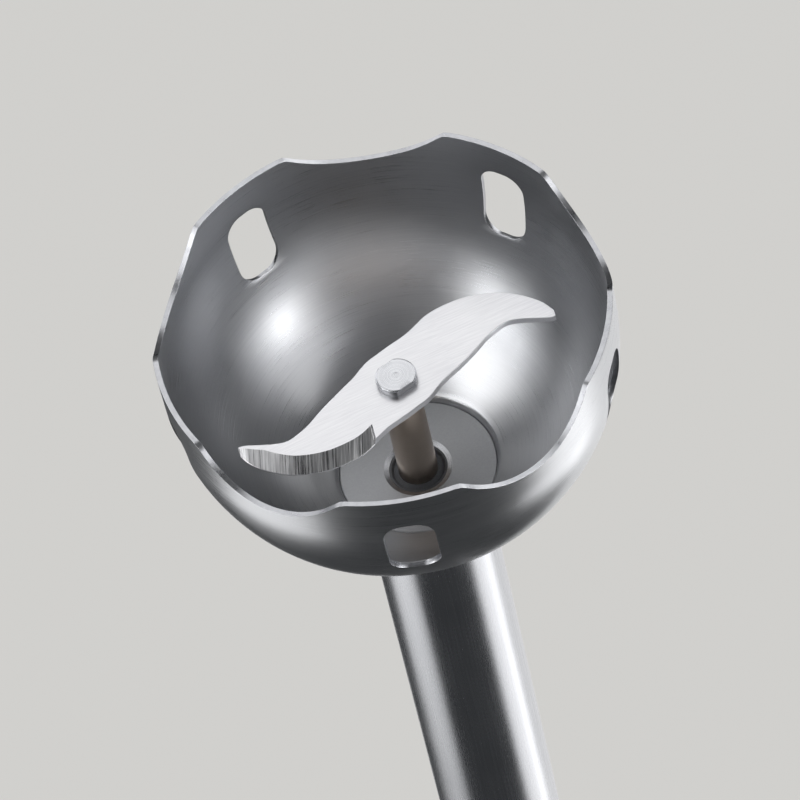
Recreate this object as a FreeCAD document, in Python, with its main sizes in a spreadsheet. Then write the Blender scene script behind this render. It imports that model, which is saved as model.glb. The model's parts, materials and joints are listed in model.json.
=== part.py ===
import FreeCAD, Part
import Sketcher
import os
import re

# Immersion blender, standing on the end of its handle with the blending bell up. Millimetres.
# +Z runs from the handle's flat end to the bell's mouth, and the buttons face -Y, the front.
# The origin is the centre of the handle's flat end. A "drop" is a depth below the bell's mouth.

SIZES = {
    # whole blender
    "total_height": 400.0,
    "motor_unit_height": 196.0,
    "running_gap": 0.03,
    "moving_gap": 0.3,
    # bell: a straight skirt over a half sphere, with a scalloped mouth and one window under each lobe
    "bell_radius": 33.4,
    "bell_wall": 0.8,
    "bell_centre_drop": 7.6,
    "bell_floor_drop": 38.6,
    "bell_neck_radius": 12.7,
    "lobe_count": 5,
    "scallop_depth": 5.4,
    "scallop_chord": 23.8,
    "window_width": 7.4,
    "window_height": 13.0,
    "window_corner": 3.0,
    "window_drop": 12.4,
    # tube of the blending leg
    "tube_radius": 9.4,
    "tube_wall": 0.8,
    # seal carrier, seal and bush in the bell's floor
    "carrier_plate": 1.2,
    "carrier_hub_length": 16.0,
    "seal_radius": 4.4,
    "seal_length": 2.5,
    "seal_recess": 0.25,
    "bush_radius": 4.2,
    "bush_length": 9.0,
    # drive shaft and blade
    "shaft_radius": 2.5,
    "shaft_head_radius": 2.95,
    "shaft_tenon_radius": 2.0,
    "blade_top_drop": 16.45,
    "blade_thickness": 1.1,
    "blade_half_span": 25.4,
    "blade_rest_angle": 18.4,
    "grind_run": 2.4,
    "grind_depth": 0.85,
    "grind_start": 0.22,
    "grind_overcut": 0.5,
    "nut_radius": 3.05,
    "nut_height": 1.35,
    "nut_flat_distance": 2.6,
    "nut_rest_angle": 30.1,
    "tenon_height": 0.8,
    # collar of the leg and what it holds
    "collar_skirt": 15.0,
    "collar_shoulder": 31.0,
    "collar_height": 42.0,
    "collar_rounding": 12.0,
    "collar_neck_wall": 1.6,
    "socket_gap": 0.4,
    "socket_depth": 15.5,
    "core_plate": 3.0,
    "core_hub_length": 20.0,
    "core_pocket_radius": 5.6,
    "core_pocket_depth": 4.2,
    "damper_length": 12.0,
    "damper_height": 285.0,
    "clip_radius": 4.4,
    "clip_thickness": 0.8,
    "washer_radius": 4.8,
    "washer_thickness": 0.5,
    "coupling_radius": 4.4,
    "coupling_length": 11.0,
    "coupling_tooth": 1.6,
    "coupling_root": 3.4,
    # nose of the motor unit
    "plug_radius": 20.0,
    "plug_height": 14.0,
    "plug_wall": 2.4,
    "nose_ring_height": 24.0,
    "nose_ring_wall": 2.2,
    "nose_plate": 3.0,
    "seal_ring_radius": 0.65,
    "seal_ring_sink": 1.05,
    # drive socket on the motor shaft
    "drive_socket_radius": 7.4,
    "drive_socket_length": 20.5,
    "drive_socket_depth": 11.5,
    "motor_shaft_radius": 3.0,
    # handle shells, grip and band
    "shell_end_radius": 24.0,
    "shell_radius": 27.4,
    "shell_wall": 2.4,
    "shell_web": 2.5,
    "grip_thickness": 1.6,
    "grip_depth": 86.0,
    "band_wall": 1.0,
    # end cap and speed dial
    "cap_height": 12.0,
    "cap_radius": 25.4,
    "cap_bevel": 2.0,
    "cap_wall": 2.5,
    "dial_height": 12.4,
    "dial_radius": 26.2,
    "dial_bore": 21.0,
    "spigot_radius": 20.6,
    # buttons
    "on_button_radius": 7.7,
    "on_button_depth": 106.0,
    "turbo_button_radius": 6.2,
    "turbo_button_depth": 128.0,
    "button_front": 29.4,
    "button_flange": 1.5,
    "button_flange_plate": 1.2,
    "button_flange_face": 21.5,
    "button_stem": 1.9,
    "button_stem_radius": 2.0,
    "button_dome": 1.2,
    "bezel_width": 20.0,
    "bezel_low_depth": 140.0,
    "bezel_high_depth": 93.0,
    "bezel_proud": 0.6,
    # circuit board and its parts
    "board_face": 12.6,
    "board_thickness": 1.6,
    "board_width": 26.0,
    "board_low_depth": 158.0,
    "board_high_depth": 98.0,
    "switch_size": 6.0,
    "switch_height": 3.6,
    "spring_wire": 0.35,
    "release_spring_radius": 1.2,
    # motor
    "fan_depth": 96.0,
    "fan_height": 8.0,
    "fan_radius": 19.0,
    "fan_plate": 1.2,
    "vane_half_thickness": 0.5,
    "lower_bridge_depth": 84.0,
    "bridge_plate": 4.0,
    "bridge_radius": 21.5,
    "bridge_leg_half_width": 2.5,
    "bridge_cheek_half_width": 5.0,
    "bearing_radius": 8.0,
    "bearing_width": 5.0,
    "commutator_depth": 72.0,
    "commutator_height": 11.0,
    "commutator_radius": 8.0,
    "commutator_slot_depth": 0.8,
    "brush_half_width": 2.8,
    "brush_height": 8.0,
    "brush_length": 7.0,
    "brush_holder_wall": 0.8,
    "brush_spring_radius": 2.0,
    "stator_depth": 52.0,
    "stator_height": 28.0,
    "stator_radius": 21.0,
    "stator_bore": 12.6,
    "stator_yoke": 3.5,
    "armature_radius": 12.0,
    "armature_slot_depth": 4.5,
    "armature_slot_half_width": 1.1,
    "winding_overhang": 6.0,
    "coil_overhang": 5.0,
    "upper_bridge_depth": 16.0,
    "upper_bridge_plate": 3.0,
    "motor_screw_radius": 1.6,
    "motor_screw_offset": 18.9,
    "damper_wall": 3.5,
    # release buttons
    "release_depth": 12.0,
    "release_height": 8.0,
    "release_half_width": 7.0,
    "release_travel": 2.0,
    "release_proud": 1.0,
    "arm_inner": 15.0,
    "arm_thickness": 2.0,
    "arm_half_width": 4.0,
    "catch_height": 3.0,
    "release_pad_depth": 4.0,
    "release_lip": 2.0,
    # cord inlet, clamp and screws
    "inlet_height": 36.0,
    "inlet_radius": 5.2,
    "inlet_bore": 3.5,
    "inlet_reach": 7.7,
    "boss_radius": 3.0,
    "boss_offset": 17.6,
    "low_screw_height": 46.0,
    "high_screw_depth": 102.0,
    "screw_radius": 1.4,
    "screw_head_radius": 2.6,
    "screw_head_height": 1.6,
    "screw_seat": 8.0,
    "clamp_face": 13.0,
    "clamp_bar": 4.0,
    "clamp_offset": 10.0,
    "clamp_post_radius": 2.4,
    "clamp_screw_depth": 5.0,
    "clamp_half_height": 4.0,
    "inlet_seat": 5.0,
    "inlet_taper": 0.9,
    "inlet_flange": 1.6,
    "cap_floor": 4.0,
    "cap_boss": 4.0,
    "cap_screw_offset": 16.0,
    "bezel_corner": 9.0,
    "sleeve_radius": 5.2,
    "sleeve_wall": 0.8,
    "sleeve_bulge": 0.6,
    "capacitor_width": 18.0,
    "capacitor_depth": 7.0,
    "dial_rounding": 1.0,
    "flute_depth": 0.7,
    "magnet_radius": 2.0,
    "magnet_depth": 2.4,
}

# sizes and heights that follow from those above, in the same words
DERIVED = {
    "collar_radius": "shell_radius + band_wall",
    "socket_radius": "plug_radius + socket_gap",
    "shell_base": "cap_height + dial_height + 2 * moving_gap",
    "shell_cone_top": "collar_radius - grip_thickness",
    "shell_top": "motor_unit_height - upper_bridge_depth",
    "grip_top": "motor_unit_height - grip_depth",
    "nose_ring_bottom": "motor_unit_height - nose_ring_height",
    "on_button_height": "motor_unit_height - on_button_depth",
    "turbo_button_height": "motor_unit_height - turbo_button_depth",
    "bezel_bottom": "motor_unit_height - bezel_low_depth",
    "bezel_top": "motor_unit_height - bezel_high_depth",
    "board_bottom": "motor_unit_height - board_low_depth",
    "board_top": "motor_unit_height - board_high_depth",
    "fan_bottom": "motor_unit_height - fan_depth",
    "lower_bridge_bottom": "motor_unit_height - lower_bridge_depth",
    "commutator_bottom": "motor_unit_height - commutator_depth",
    "stator_bottom": "motor_unit_height - stator_depth",
    "upper_bridge_bottom": "motor_unit_height - upper_bridge_depth",
    "release_bottom": "motor_unit_height - release_depth",
    "high_screw_height": "motor_unit_height - high_screw_depth",
}

UP = FreeCAD.Vector(0, 0, 1)
SIDES = {"x": FreeCAD.Vector(1, 0, 0), "y": FreeCAD.Vector(0, 1, 0), "z": UP}

doc = FreeCAD.newDocument("immersion_blender")
sheet = doc.addObject("Spreadsheet::Sheet", "Dims")
for row, (alias, value) in enumerate(SIZES.items(), start=1):
    sheet.set(f"A{row}", alias)
    sheet.set(f"B{row}", str(value))
    sheet.setAlias(f"B{row}", alias)
doc.recompute()
kept = []


# ---------------------------------------------------------------- helpers

def size(alias):
    """A size as a number, for what code works out itself."""
    return float(getattr(sheet, alias))


def on_sheet(formula):
    """A formula in the sheet's words, as an expression that reads the sheet's cells."""
    def cell(match):
        word = match.group()
        if word in DERIVED:
            return f"({on_sheet(DERIVED[word])})"
        return f"Dims.{word}" if word in SIZES else word
    return re.sub(r"[a-z][a-z_]*", cell, str(formula))


def bind(item, prop, formula):
    item.setExpression(prop, on_sheet(formula))


def keep(item, name):
    """Mark an object as a finished sub-part, labelled with its node's name."""
    item.Label = name
    kept.append(item)
    return item


def place(item, x=0, y=0, z=0):
    for letter, formula in (("x", x), ("y", y), ("z", z)):
        bind(item, f"Placement.Base.{letter}", formula)
    return item


def rod(name, radius, length, x=0, y=0, z=0, along="z", turn=0.0):
    """A cylinder that starts at a point, runs along an axis and is then turned about Z."""
    item = doc.addObject("Part::Cylinder", name)
    bind(item, "Radius", radius)
    bind(item, "Height", length)
    spin = FreeCAD.Rotation(UP, turn).multiply(FreeCAD.Rotation(UP, SIDES[along]))
    item.Placement = FreeCAD.Placement(FreeCAD.Vector(), spin)
    return place(item, x, y, z)


def block(name, x, y, z):
    """A box, given as a (low, high) pair of formulas along each axis."""
    item = doc.addObject("Part::Box", name)
    for prop, (low, high) in (("Length", x), ("Width", y), ("Height", z)):
        bind(item, prop, f"({high}) - ({low})")
    return place(item, x[0], y[0], z[0])


def joined(name, *pieces):
    item = doc.addObject("Part::MultiFuse", name)
    item.Shapes = list(pieces)
    item.Refine = True
    return item


def cut(name, base, *tools):
    item = doc.addObject("Part::Cut", name)
    item.Base = base
    item.Tool = tools[0] if len(tools) == 1 else joined(name + "_tools", *tools)
    return item


def overlap_of(name, first, second):
    item = doc.addObject("Part::MultiCommon", name)
    item.Shapes = [first, second]
    return item


def turned_half(item):
    """Turn a finished piece half a turn about Z, to make the one opposite."""
    item.Placement = FreeCAD.Placement(FreeCAD.Vector(), FreeCAD.Rotation(UP, 180))
    return item


def sketch_on(body, role, corners, name):
    """A closed sketch of straight lines; each corner is a pair of formulas."""
    sketch = body.newObject("Sketcher::SketchObject", name)
    plane = next(item for item in body.Origin.OriginFeatures if item.Role == role)
    sketch.AttachmentSupport = [(plane, "")]
    sketch.MapMode = "FlatFace"
    count = len(corners)
    start = [FreeCAD.Vector(10, 0, 0)]
    for corner in range(1, count):
        start.append(FreeCAD.Rotation(UP, 360 * corner / count).multVec(start[0]))
    for corner in range(count):
        sketch.addGeometry(Part.LineSegment(start[corner], start[(corner + 1) % count]))
    for corner in range(count):
        following = (corner + 1) % count
        sketch.addConstraint(Sketcher.Constraint("Coincident", corner, 2, following, 1))
    for corner, formulas in enumerate(corners):
        for kind, formula in zip(("DistanceX", "DistanceY"), formulas):
            link = Sketcher.Constraint(kind, -1, 1, corner, 1, 1.0)
            bind(sketch, f"Constraints[{sketch.addConstraint(link)}]", formula)
    return sketch


def turned(name, outline):
    """A solid of revolution about Z; the outline's corners are (radius, height) formulas."""
    body = doc.addObject("PartDesign::Body", name)
    sketch = sketch_on(body, "XZ_Plane", outline, name + "_outline")
    lathe = body.newObject("PartDesign::Revolution", name + "_turned")
    lathe.Profile = sketch
    lathe.ReferenceAxis = (sketch, ["V_Axis"])
    lathe.Angle = 360
    body.Tip = lathe
    return body


def ring(name, inner, outer, low, high):
    return turned(name, [(inner, low), (outer, low), (outer, high), (inner, high)])


def rounded(body, radius, chosen):
    """Round the edges of a body's tip that the test chosen picks."""
    doc.recompute()
    tip = body.Tip
    names = [f"Edge{number}" for number, edge in enumerate(tip.Shape.Edges, 1) if chosen(edge)]
    fillet = body.newObject("PartDesign::Fillet", f"{body.Name}_rounding{len(body.Group)}")
    fillet.Base = (tip, names)
    bind(fillet, "Radius", radius)
    body.Tip = fillet
    return body


def circle_at(radius, height):
    """A test for the round edges of a turned piece at a radius and a height."""
    def chosen(edge):
        if not hasattr(edge.Curve, "Radius"):
            return False
        centre = edge.Curve.Center
        return abs(edge.Curve.Radius - radius) < 0.01 and abs(centre.z - height) < 0.01
    return chosen


def coil_spring(name, coil_radius, length, turns, x=0, y=0, z=0, along="z"):
    """A compression spring of round wire, whose ends lie inside its stated length."""
    helix = doc.addObject("Part::Helix", name + "_line")
    bind(helix, "Radius", coil_radius)
    bind(helix, "Height", f"({length}) - 2 * spring_wire")
    bind(helix, "Pitch", f"(({length}) - 2 * spring_wire) / {turns}")
    wire = doc.addObject("Part::Circle", name + "_wire")
    bind(wire, "Radius", "spring_wire")
    wire.Placement.Rotation = FreeCAD.Rotation(SIDES["x"], 90)
    bind(wire, "Placement.Base.x", coil_radius)
    spring = doc.addObject("Part::Sweep", name)
    spring.Sections = [wire]
    spring.Spine = (helix, ["Edge1"])
    spring.Solid = True
    spring.Frenet = True
    spring.Placement = FreeCAD.Placement(FreeCAD.Vector(), FreeCAD.Rotation(UP, SIDES[along]))
    offset = {"x": x, "y": y, "z": z}
    offset[along] = f"({offset[along]}) + spring_wire"
    return place(spring, **offset)


# ---------------------------------------------------------------- blending leg

def bell_guard():
    """Pressed steel bell: skirt, half sphere and neck, scalloped mouth, one window per lobe."""
    centre = "total_height - bell_centre_drop"
    floor = "total_height - bell_floor_drop"
    under = f"{floor} - carrier_plate - bell_wall"
    layers = []
    for layer, inset, bottom in (("outer", "0", under), ("inner", "bell_wall", f"{under} + bell_wall")):
        skirt = rod(f"bell_{layer}_skirt", f"bell_radius - {inset}", "bell_centre_drop", z=centre)
        dome = doc.addObject("Part::Sphere", f"bell_{layer}_dome")
        bind(dome, "Radius", f"bell_radius - {inset}")
        dome.Angle1 = -90
        dome.Angle2 = 0
        place(dome, z=centre)
        neck = rod(f"bell_{layer}_neck", f"bell_neck_radius - {inset}", f"{centre} - ({bottom})", z=bottom)
        layers.append(joined(f"bell_{layer}", skirt, dome, neck))
    # the dome ends at the neck: what hangs below the carrier's seat is cut off flat
    trim = rod("bell_trim", "bell_radius", "bell_radius", z=f"{under} - bell_radius")
    seat_trim = rod("bell_seat_trim", "bell_radius", "bell_radius", z=f"{under} + bell_wall - bell_radius")
    outer = cut("bell_outer_trimmed", layers[0], trim)
    inner = cut("bell_inner_trimmed", layers[1], seat_trim)
    tools = [inner, rod("bell_tube_hole", "tube_radius", "3 * bell_wall", z=f"{under} - bell_wall")]
    lobes = round(size("lobe_count"))
    scallop = "(pow(scallop_chord / 2; 2) + pow(scallop_depth; 2)) / (2 * scallop_depth)"
    for lobe in range(lobes):
        turn = 360 / lobes * lobe
        tools.append(window_tool(f"bell_window{lobe}", turn))
        tools.append(rod(f"bell_scallop{lobe}", scallop, "2 * bell_radius", along="y",
                         z=f"total_height - scallop_depth + {scallop}", turn=turn + 180 + 180 / lobes))
    return cut("bell_guard", outer, *tools)


def window_tool(name, turn):
    """The rounded rectangle that cuts one window, from the bell's axis out to the front."""
    body = doc.addObject("PartDesign::Body", name)
    low = "total_height - window_drop - window_height / 2"
    high = "total_height - window_drop + window_height / 2"
    outline = [("-window_width / 2", low), ("window_width / 2", low),
               ("window_width / 2", high), ("-window_width / 2", high)]
    sketch = sketch_on(body, "XZ_Plane", outline, name + "_outline")
    pad = body.newObject("PartDesign::Pad", name + "_pad")
    pad.Profile = sketch
    bind(pad, "Length", "2 * bell_radius")
    body.Tip = pad
    rounded(body, "window_corner", lambda edge: abs(edge.tangentAt(0).y) > 0.9)
    body.Placement = FreeCAD.Placement(FreeCAD.Vector(), FreeCAD.Rotation(UP, turn))
    return body


def leg_tube():
    low = "motor_unit_height + socket_depth + core_plate"
    high = "total_height - bell_floor_drop - carrier_plate"
    return ring("leg_tube", "tube_radius - tube_wall", "tube_radius", low, high)


def seal_carrier():
    """The bell's matt floor: a plate with a hub that is pressed into the tube."""
    top = "total_height - bell_floor_drop"
    plate = f"{top} - carrier_plate"
    low = f"{plate} - carrier_hub_length"
    seal_seat = f"{top} - seal_recess - seal_length"
    bush_seat = f"{seal_seat} - carrier_plate - bush_length"
    return turned("seal_carrier", [
        ("bush_radius - carrier_plate", low), ("tube_radius - tube_wall", low),
        ("tube_radius - tube_wall", plate), ("bell_neck_radius - bell_wall", plate),
        ("bell_neck_radius - bell_wall", top), ("seal_radius", top),
        ("seal_radius", seal_seat), ("bush_radius", seal_seat),
        ("bush_radius", bush_seat), ("bush_radius - carrier_plate", bush_seat)])


def shaft_seal():
    top = "total_height - bell_floor_drop - seal_recess"
    return ring("shaft_seal", "shaft_head_radius + running_gap", "seal_radius", f"{top} - seal_length", top)


def foot_bush():
    seat = "total_height - bell_floor_drop - seal_recess - seal_length - carrier_plate"
    return ring("foot_bush", "shaft_radius + running_gap", "bush_radius", f"{seat} - bush_length", seat)


def drive_shaft():
    """Steel shaft: thin through the bushes, thick through the seal, with a tenon for the blade."""
    low = "motor_unit_height + moving_gap"
    step = "total_height - bell_floor_drop - seal_recess - seal_length - carrier_plate + moving_gap"
    shoulder = "total_height - blade_top_drop - blade_thickness"
    tip = "total_height - blade_top_drop + tenon_height"
    clip = "motor_unit_height + socket_depth + core_pocket_depth - washer_thickness - moving_gap"
    groove = "shaft_radius - clip_thickness / 2"
    return turned("drive_shaft", [
        ("0", low), ("shaft_radius", low),
        ("shaft_radius", f"{clip} - clip_thickness"), (groove, f"{clip} - clip_thickness"),
        (groove, clip), ("shaft_radius", clip),
        ("shaft_radius", step), ("shaft_head_radius", step),
        ("shaft_head_radius", shoulder), ("shaft_tenon_radius", shoulder),
        ("shaft_tenon_radius", tip), ("0", tip)])


def shaft_clip():
    """Open clip in the shaft's groove, which keeps the shaft in the leg."""
    top = "motor_unit_height + socket_depth + core_pocket_depth - washer_thickness - moving_gap"
    low = f"{top} - clip_thickness"
    whole = ring("shaft_clip_ring", "shaft_radius - clip_thickness / 2", "clip_radius", low, top)
    mouth = block("shaft_clip_mouth", ("0", "2 * clip_radius"), ("-shaft_radius / 2", "shaft_radius / 2"),
                  (f"{low} - 1", f"{top} + 1"))
    return cut("shaft_clip", whole, mouth)


def thrust_washer():
    high = "motor_unit_height + socket_depth + core_pocket_depth - moving_gap"
    return ring("thrust_washer", "shaft_radius", "washer_radius", f"{high} - washer_thickness", high)


def driven_coupling():
    """Six-toothed plug on the shaft's lower end, which drops into the drive socket."""
    low = "motor_unit_height + moving_gap"
    hub = ring("driven_coupling_hub", "shaft_radius", "coupling_root", low, f"{low} + coupling_length")
    return joined("driven_coupling", hub, *teeth("driven_coupling", low, "coupling_length", "0"))


def teeth(name, low, length, extra):
    """Three bars across the axis, which make six teeth; extra is added all round."""
    bars = []
    for bar in range(3):
        reach = f"coupling_radius + {extra}"
        half = f"coupling_tooth / 2 + {extra}"
        tooth = block(f"{name}_bar{bar}", (f"-({reach})", reach), (f"-({half})", half),
                      (low, f"{low} + {length}"))
        hole = rod(f"{name}_bore{bar}", "shaft_radius", length, z=low)
        solid = tooth if extra != "0" else cut(f"{name}_tooth{bar}", tooth, hole)
        turned_bar = doc.addObject("Part::Compound", f"{name}_pair{bar}")
        turned_bar.Links = [solid]
        turned_bar.Placement = FreeCAD.Placement(FreeCAD.Vector(), FreeCAD.Rotation(UP, 60 * bar))
        bars.append(turned_bar)
    return bars


def blade_wing_points():
    """One wing's outline, hub to tip to hub, along X with the cutting edge towards +Y.

    The first list is the convex cutting edge, the second the blunt tip and the third the
    hollow back edge. They are stretched alike, so that the tip reaches the blade's half span.
    """
    cutting = [(2.0, 6.3), (6.2, 7.7), (11.6, 9.3), (17.7, 8.3), (22.9, 4.9), (25.4, 0.5)]
    tip = [(25.4, 0.5), (25.2, -0.5), (24.5, -0.7)]
    back = [(24.5, -0.7), (21.2, 1.2), (18.3, 2.05), (14.6, 0.8), (8.6, -2.2), (4.0, -4.6), (2.0, -5.6)]
    stretch = size("blade_half_span") / cutting[-1][0]
    return [[FreeCAD.Vector(x * stretch, y * stretch, 0) for x, y in points]
            for points in (cutting, tip, back)]


def blade():
    """S-shaped blade cut from sheet, with one edge ground on top and the other underneath."""
    thickness = size("blade_thickness")
    edges = []
    ends = []
    for turn in (0, 180):
        half_turn = FreeCAD.Rotation(UP, turn)
        for points in blade_wing_points():
            line = Part.BSplineCurve()
            line.interpolate([half_turn.multVec(point) for point in points])
            edges.append(line.toShape())
            ends.append((line.StartPoint, line.EndPoint))
    edges.insert(3, Part.LineSegment(ends[2][1], ends[3][0]).toShape())
    edges.append(Part.LineSegment(ends[5][1], ends[0][0]).toShape())
    sheet_metal = Part.Face(Part.Wire(edges)).extrude(UP * thickness)
    hole = Part.makeCylinder(size("shaft_tenon_radius"), thickness)
    item = doc.addObject("Part::Feature", "blade")
    item.Shape = ground_edges(sheet_metal.cut(hole), thickness)
    item.Placement = FreeCAD.Placement(
        FreeCAD.Vector(0, 0, size("total_height") - size("blade_top_drop") - thickness),
        FreeCAD.Rotation(UP, size("blade_rest_angle")))
    return item


def ground_edges(flat_blade, thickness):
    """Grind a long bevel on each cutting edge: the -X wing from above, the +X wing from below."""
    edge = Part.BSplineCurve()
    edge.interpolate(blade_wing_points()[0])
    run = size("grind_run")
    beyond = size("grind_overcut")
    slope = size("grind_depth") / run
    # each wedge's section: on the blade's face behind the bevel, then low and high past its edge
    section = ((-run - beyond, thickness + beyond * slope),
               (2 * beyond, thickness - (run + 2 * beyond) * slope),
               (2 * beyond, thickness + beyond * slope))
    stations = 9
    start = size("grind_start")
    for turn, from_below in ((180, False), (0, True)):
        half_turn = FreeCAD.Rotation(UP, turn)
        wedges = []
        for station in range(stations):
            share = start + (1 - start) * station / (stations - 1)
            along = edge.FirstParameter + (edge.LastParameter - edge.FirstParameter) * share
            out = UP.cross(edge.tangent(along)[0])
            corners = []
            for reach, height in section:
                corner = half_turn.multVec(edge.value(along) + out * reach)
                corner.z = thickness - height if from_below else height
                corners.append(corner)
            wedges.append(Part.makePolygon(corners + corners[:1]))
        flat_blade = flat_blade.cut(Part.makeLoft(wedges, True, True))
    return flat_blade


def blade_nut():
    """Round nut with two flats, screwed down on the tenon."""
    low = "total_height - blade_top_drop"
    top = f"{low} + nut_height"
    head = turned("blade_nut_round", [
        ("shaft_tenon_radius", low), ("nut_radius", low), ("nut_radius", top), ("0", top),
        ("0", f"{low} + tenon_height"), ("shaft_tenon_radius", f"{low} + tenon_height")])
    bar = block("blade_nut_flats", ("-nut_radius", "nut_radius"),
                ("-nut_flat_distance", "nut_flat_distance"), (low, top))
    nut = overlap_of("blade_nut", head, bar)
    nut.Placement = FreeCAD.Placement(FreeCAD.Vector(), FreeCAD.Rotation(UP, size("nut_rest_angle")))
    return nut


def leg_collar():
    """Collar that widens from the tube to the handle, with a socket for the motor unit's plug."""
    low = "motor_unit_height"
    shoulder = f"{low} + collar_shoulder"
    top = f"{low} + collar_height"
    seat = f"{low} + socket_depth + core_plate"
    neck = "tube_radius + collar_neck_wall"
    body = turned("leg_collar", [
        ("socket_radius", low), ("collar_radius", low),
        ("collar_radius", f"{low} + collar_skirt"), (neck, shoulder),
        (neck, top), ("tube_radius", top), ("tube_radius", seat), ("socket_radius", seat)])
    bottom = size("motor_unit_height")
    neck_radius = size("tube_radius") + size("collar_neck_wall")
    skirt_radius = size("shell_radius") + size("band_wall")
    rounded(body, "collar_rounding", circle_at(skirt_radius, bottom + size("collar_skirt")))
    rounded(body, "collar_rounding", circle_at(neck_radius, bottom + size("collar_shoulder")))
    return body


def collar_core():
    """Roof of the socket, with a hub up the tube that holds the upper bush."""
    low = "motor_unit_height + socket_depth"
    plate = f"{low} + core_plate"
    top = f"{plate} + core_hub_length"
    pocket = f"{low} + core_pocket_depth"
    bush_top = f"{pocket} + bush_length"
    return turned("collar_core", [
        ("core_pocket_radius", low), ("socket_radius", low), ("socket_radius", plate),
        ("tube_radius - tube_wall", plate), ("tube_radius - tube_wall", top),
        ("shaft_radius + moving_gap", top), ("shaft_radius + moving_gap", bush_top),
        ("bush_radius", bush_top), ("bush_radius", pocket), ("core_pocket_radius", pocket)])


def collar_bush():
    low = "motor_unit_height + socket_depth + core_pocket_depth"
    return ring("collar_bush", "shaft_radius + running_gap", "bush_radius", low, f"{low} + bush_length")


def shaft_damper():
    """Plastic spacer half way up the tube that stops the shaft whipping."""
    whole = ring("shaft_damper_ring", "shaft_radius + moving_gap", "tube_radius - tube_wall",
                 "damper_height", "damper_height + damper_length")
    slots = []
    for slot in range(3):
        slots.append(rod(f"shaft_damper_slot{slot}", "shaft_radius / 2", "damper_length + 2",
                         x="(tube_radius - tube_wall + shaft_radius) / 2", z="damper_height - 1"))
    for slot, tool in enumerate(slots):
        holder = doc.addObject("Part::Compound", f"shaft_damper_slot_place{slot}")
        holder.Links = [tool]
        holder.Placement = FreeCAD.Placement(FreeCAD.Vector(), FreeCAD.Rotation(UP, 120 * slot))
        slots[slot] = holder
    return cut("shaft_damper", whole, *slots)


# ---------------------------------------------------------------- motor unit: nose and coupling

def motor_nose():
    """Ring and plug that close the motor unit; the leg's socket slides over the plug."""
    joint = "motor_unit_height"
    ring_low = f"{joint} - nose_ring_height"
    plate = f"{joint} - nose_plate"
    top = f"{joint} + plug_height"
    wall = "collar_radius - nose_ring_wall"
    bore = "drive_socket_radius + 2 * moving_gap"
    whole = turned("motor_nose_turned", [
        (wall, ring_low), ("collar_radius", ring_low), ("collar_radius", joint),
        ("plug_radius", joint), ("plug_radius", top), ("plug_radius - plug_wall", top),
        ("plug_radius - plug_wall", joint), (bore, joint), (bore, plate), (wall, plate)])
    groove = f"{joint} + plug_height / 4"
    tools = [ring("motor_nose_groove", "plug_radius - seal_ring_sink", "plug_radius + 1",
                  f"{groove} - seal_ring_radius - 0.1", f"{groove} + seal_ring_radius + 0.1")]
    middle = f"{joint} + plug_height / 2"
    holes = {
        "pad_hole": (("collar_radius - 2 * nose_ring_wall", "2 * collar_radius"), "release_half_width",
                     ("release_bottom - moving_gap", "release_bottom + release_height + moving_gap")),
        "arm_slot": (("arm_inner - release_travel - moving_gap", "arm_inner + arm_thickness + moving_gap"),
                     "arm_half_width", (f"{plate} - 1", f"{joint} + 1")),
        "catch_window": (("arm_inner", "plug_radius + 1"), "arm_half_width",
                         (f"{middle} - moving_gap", f"{middle} + catch_height + moving_gap")),
    }
    for hole, (x, half_width, z) in holes.items():
        for turn in (0, 180):
            tools.append(side_tool(f"nose_{hole}{turn}", turn, x, f"{half_width} + moving_gap", z))
    return cut("motor_nose", whole, *tools)


def side_tool(name, turn, x, half_width, z):
    """A box across the +X side, then turned about Z."""
    tool = block(name + "_box", x, (f"-({half_width})", half_width), z)
    holder = doc.addObject("Part::Compound", name)
    holder.Links = [tool]
    holder.Placement = FreeCAD.Placement(FreeCAD.Vector(), FreeCAD.Rotation(UP, turn))
    return holder


def plug_seal():
    """Rubber ring in the plug's groove, clear of the leg's socket."""
    seal = doc.addObject("Part::Torus", "plug_seal")
    bind(seal, "Radius1", "plug_radius - seal_ring_sink + seal_ring_radius")
    bind(seal, "Radius2", "seal_ring_radius")
    place(seal, z="motor_unit_height + plug_height / 4")
    return seal


def release_button(name, turn):
    """Side button with an arm and catch that hold the leg; the catch stops flush with the plug."""
    low = "release_bottom"
    high = "release_bottom + release_height"
    inner = "collar_radius - nose_ring_wall - release_pad_depth"
    catch_low = "motor_unit_height + plug_height / 2"
    catch_high = f"{catch_low} + catch_height"
    arm_outer = "arm_inner + arm_thickness"
    pad = block(f"{name}_pad", (inner, "collar_radius + release_proud"),
                ("-release_half_width", "release_half_width"), (low, high))
    back = block(f"{name}_back", (f"{inner} - release_lip", inner),
                 ("-release_half_width - release_lip", "release_half_width + release_lip"),
                 (f"{low} - moving_gap", f"{high} + moving_gap"))
    link = block(f"{name}_link", ("arm_inner", f"{inner} - release_lip"),
                 ("-arm_half_width + 1", "arm_half_width - 1"), (low, f"{low} + arm_thickness"))
    arm = block(f"{name}_arm", ("arm_inner", arm_outer), ("-arm_half_width", "arm_half_width"),
                (low, catch_high))
    catch = block(f"{name}_catch", (arm_outer, "plug_radius - 2 * moving_gap"),
                  ("-arm_half_width", "arm_half_width"), (catch_low, catch_high))
    button = joined(name, pad, back, link, arm, catch)
    return turned_half(button) if turn else button


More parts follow.
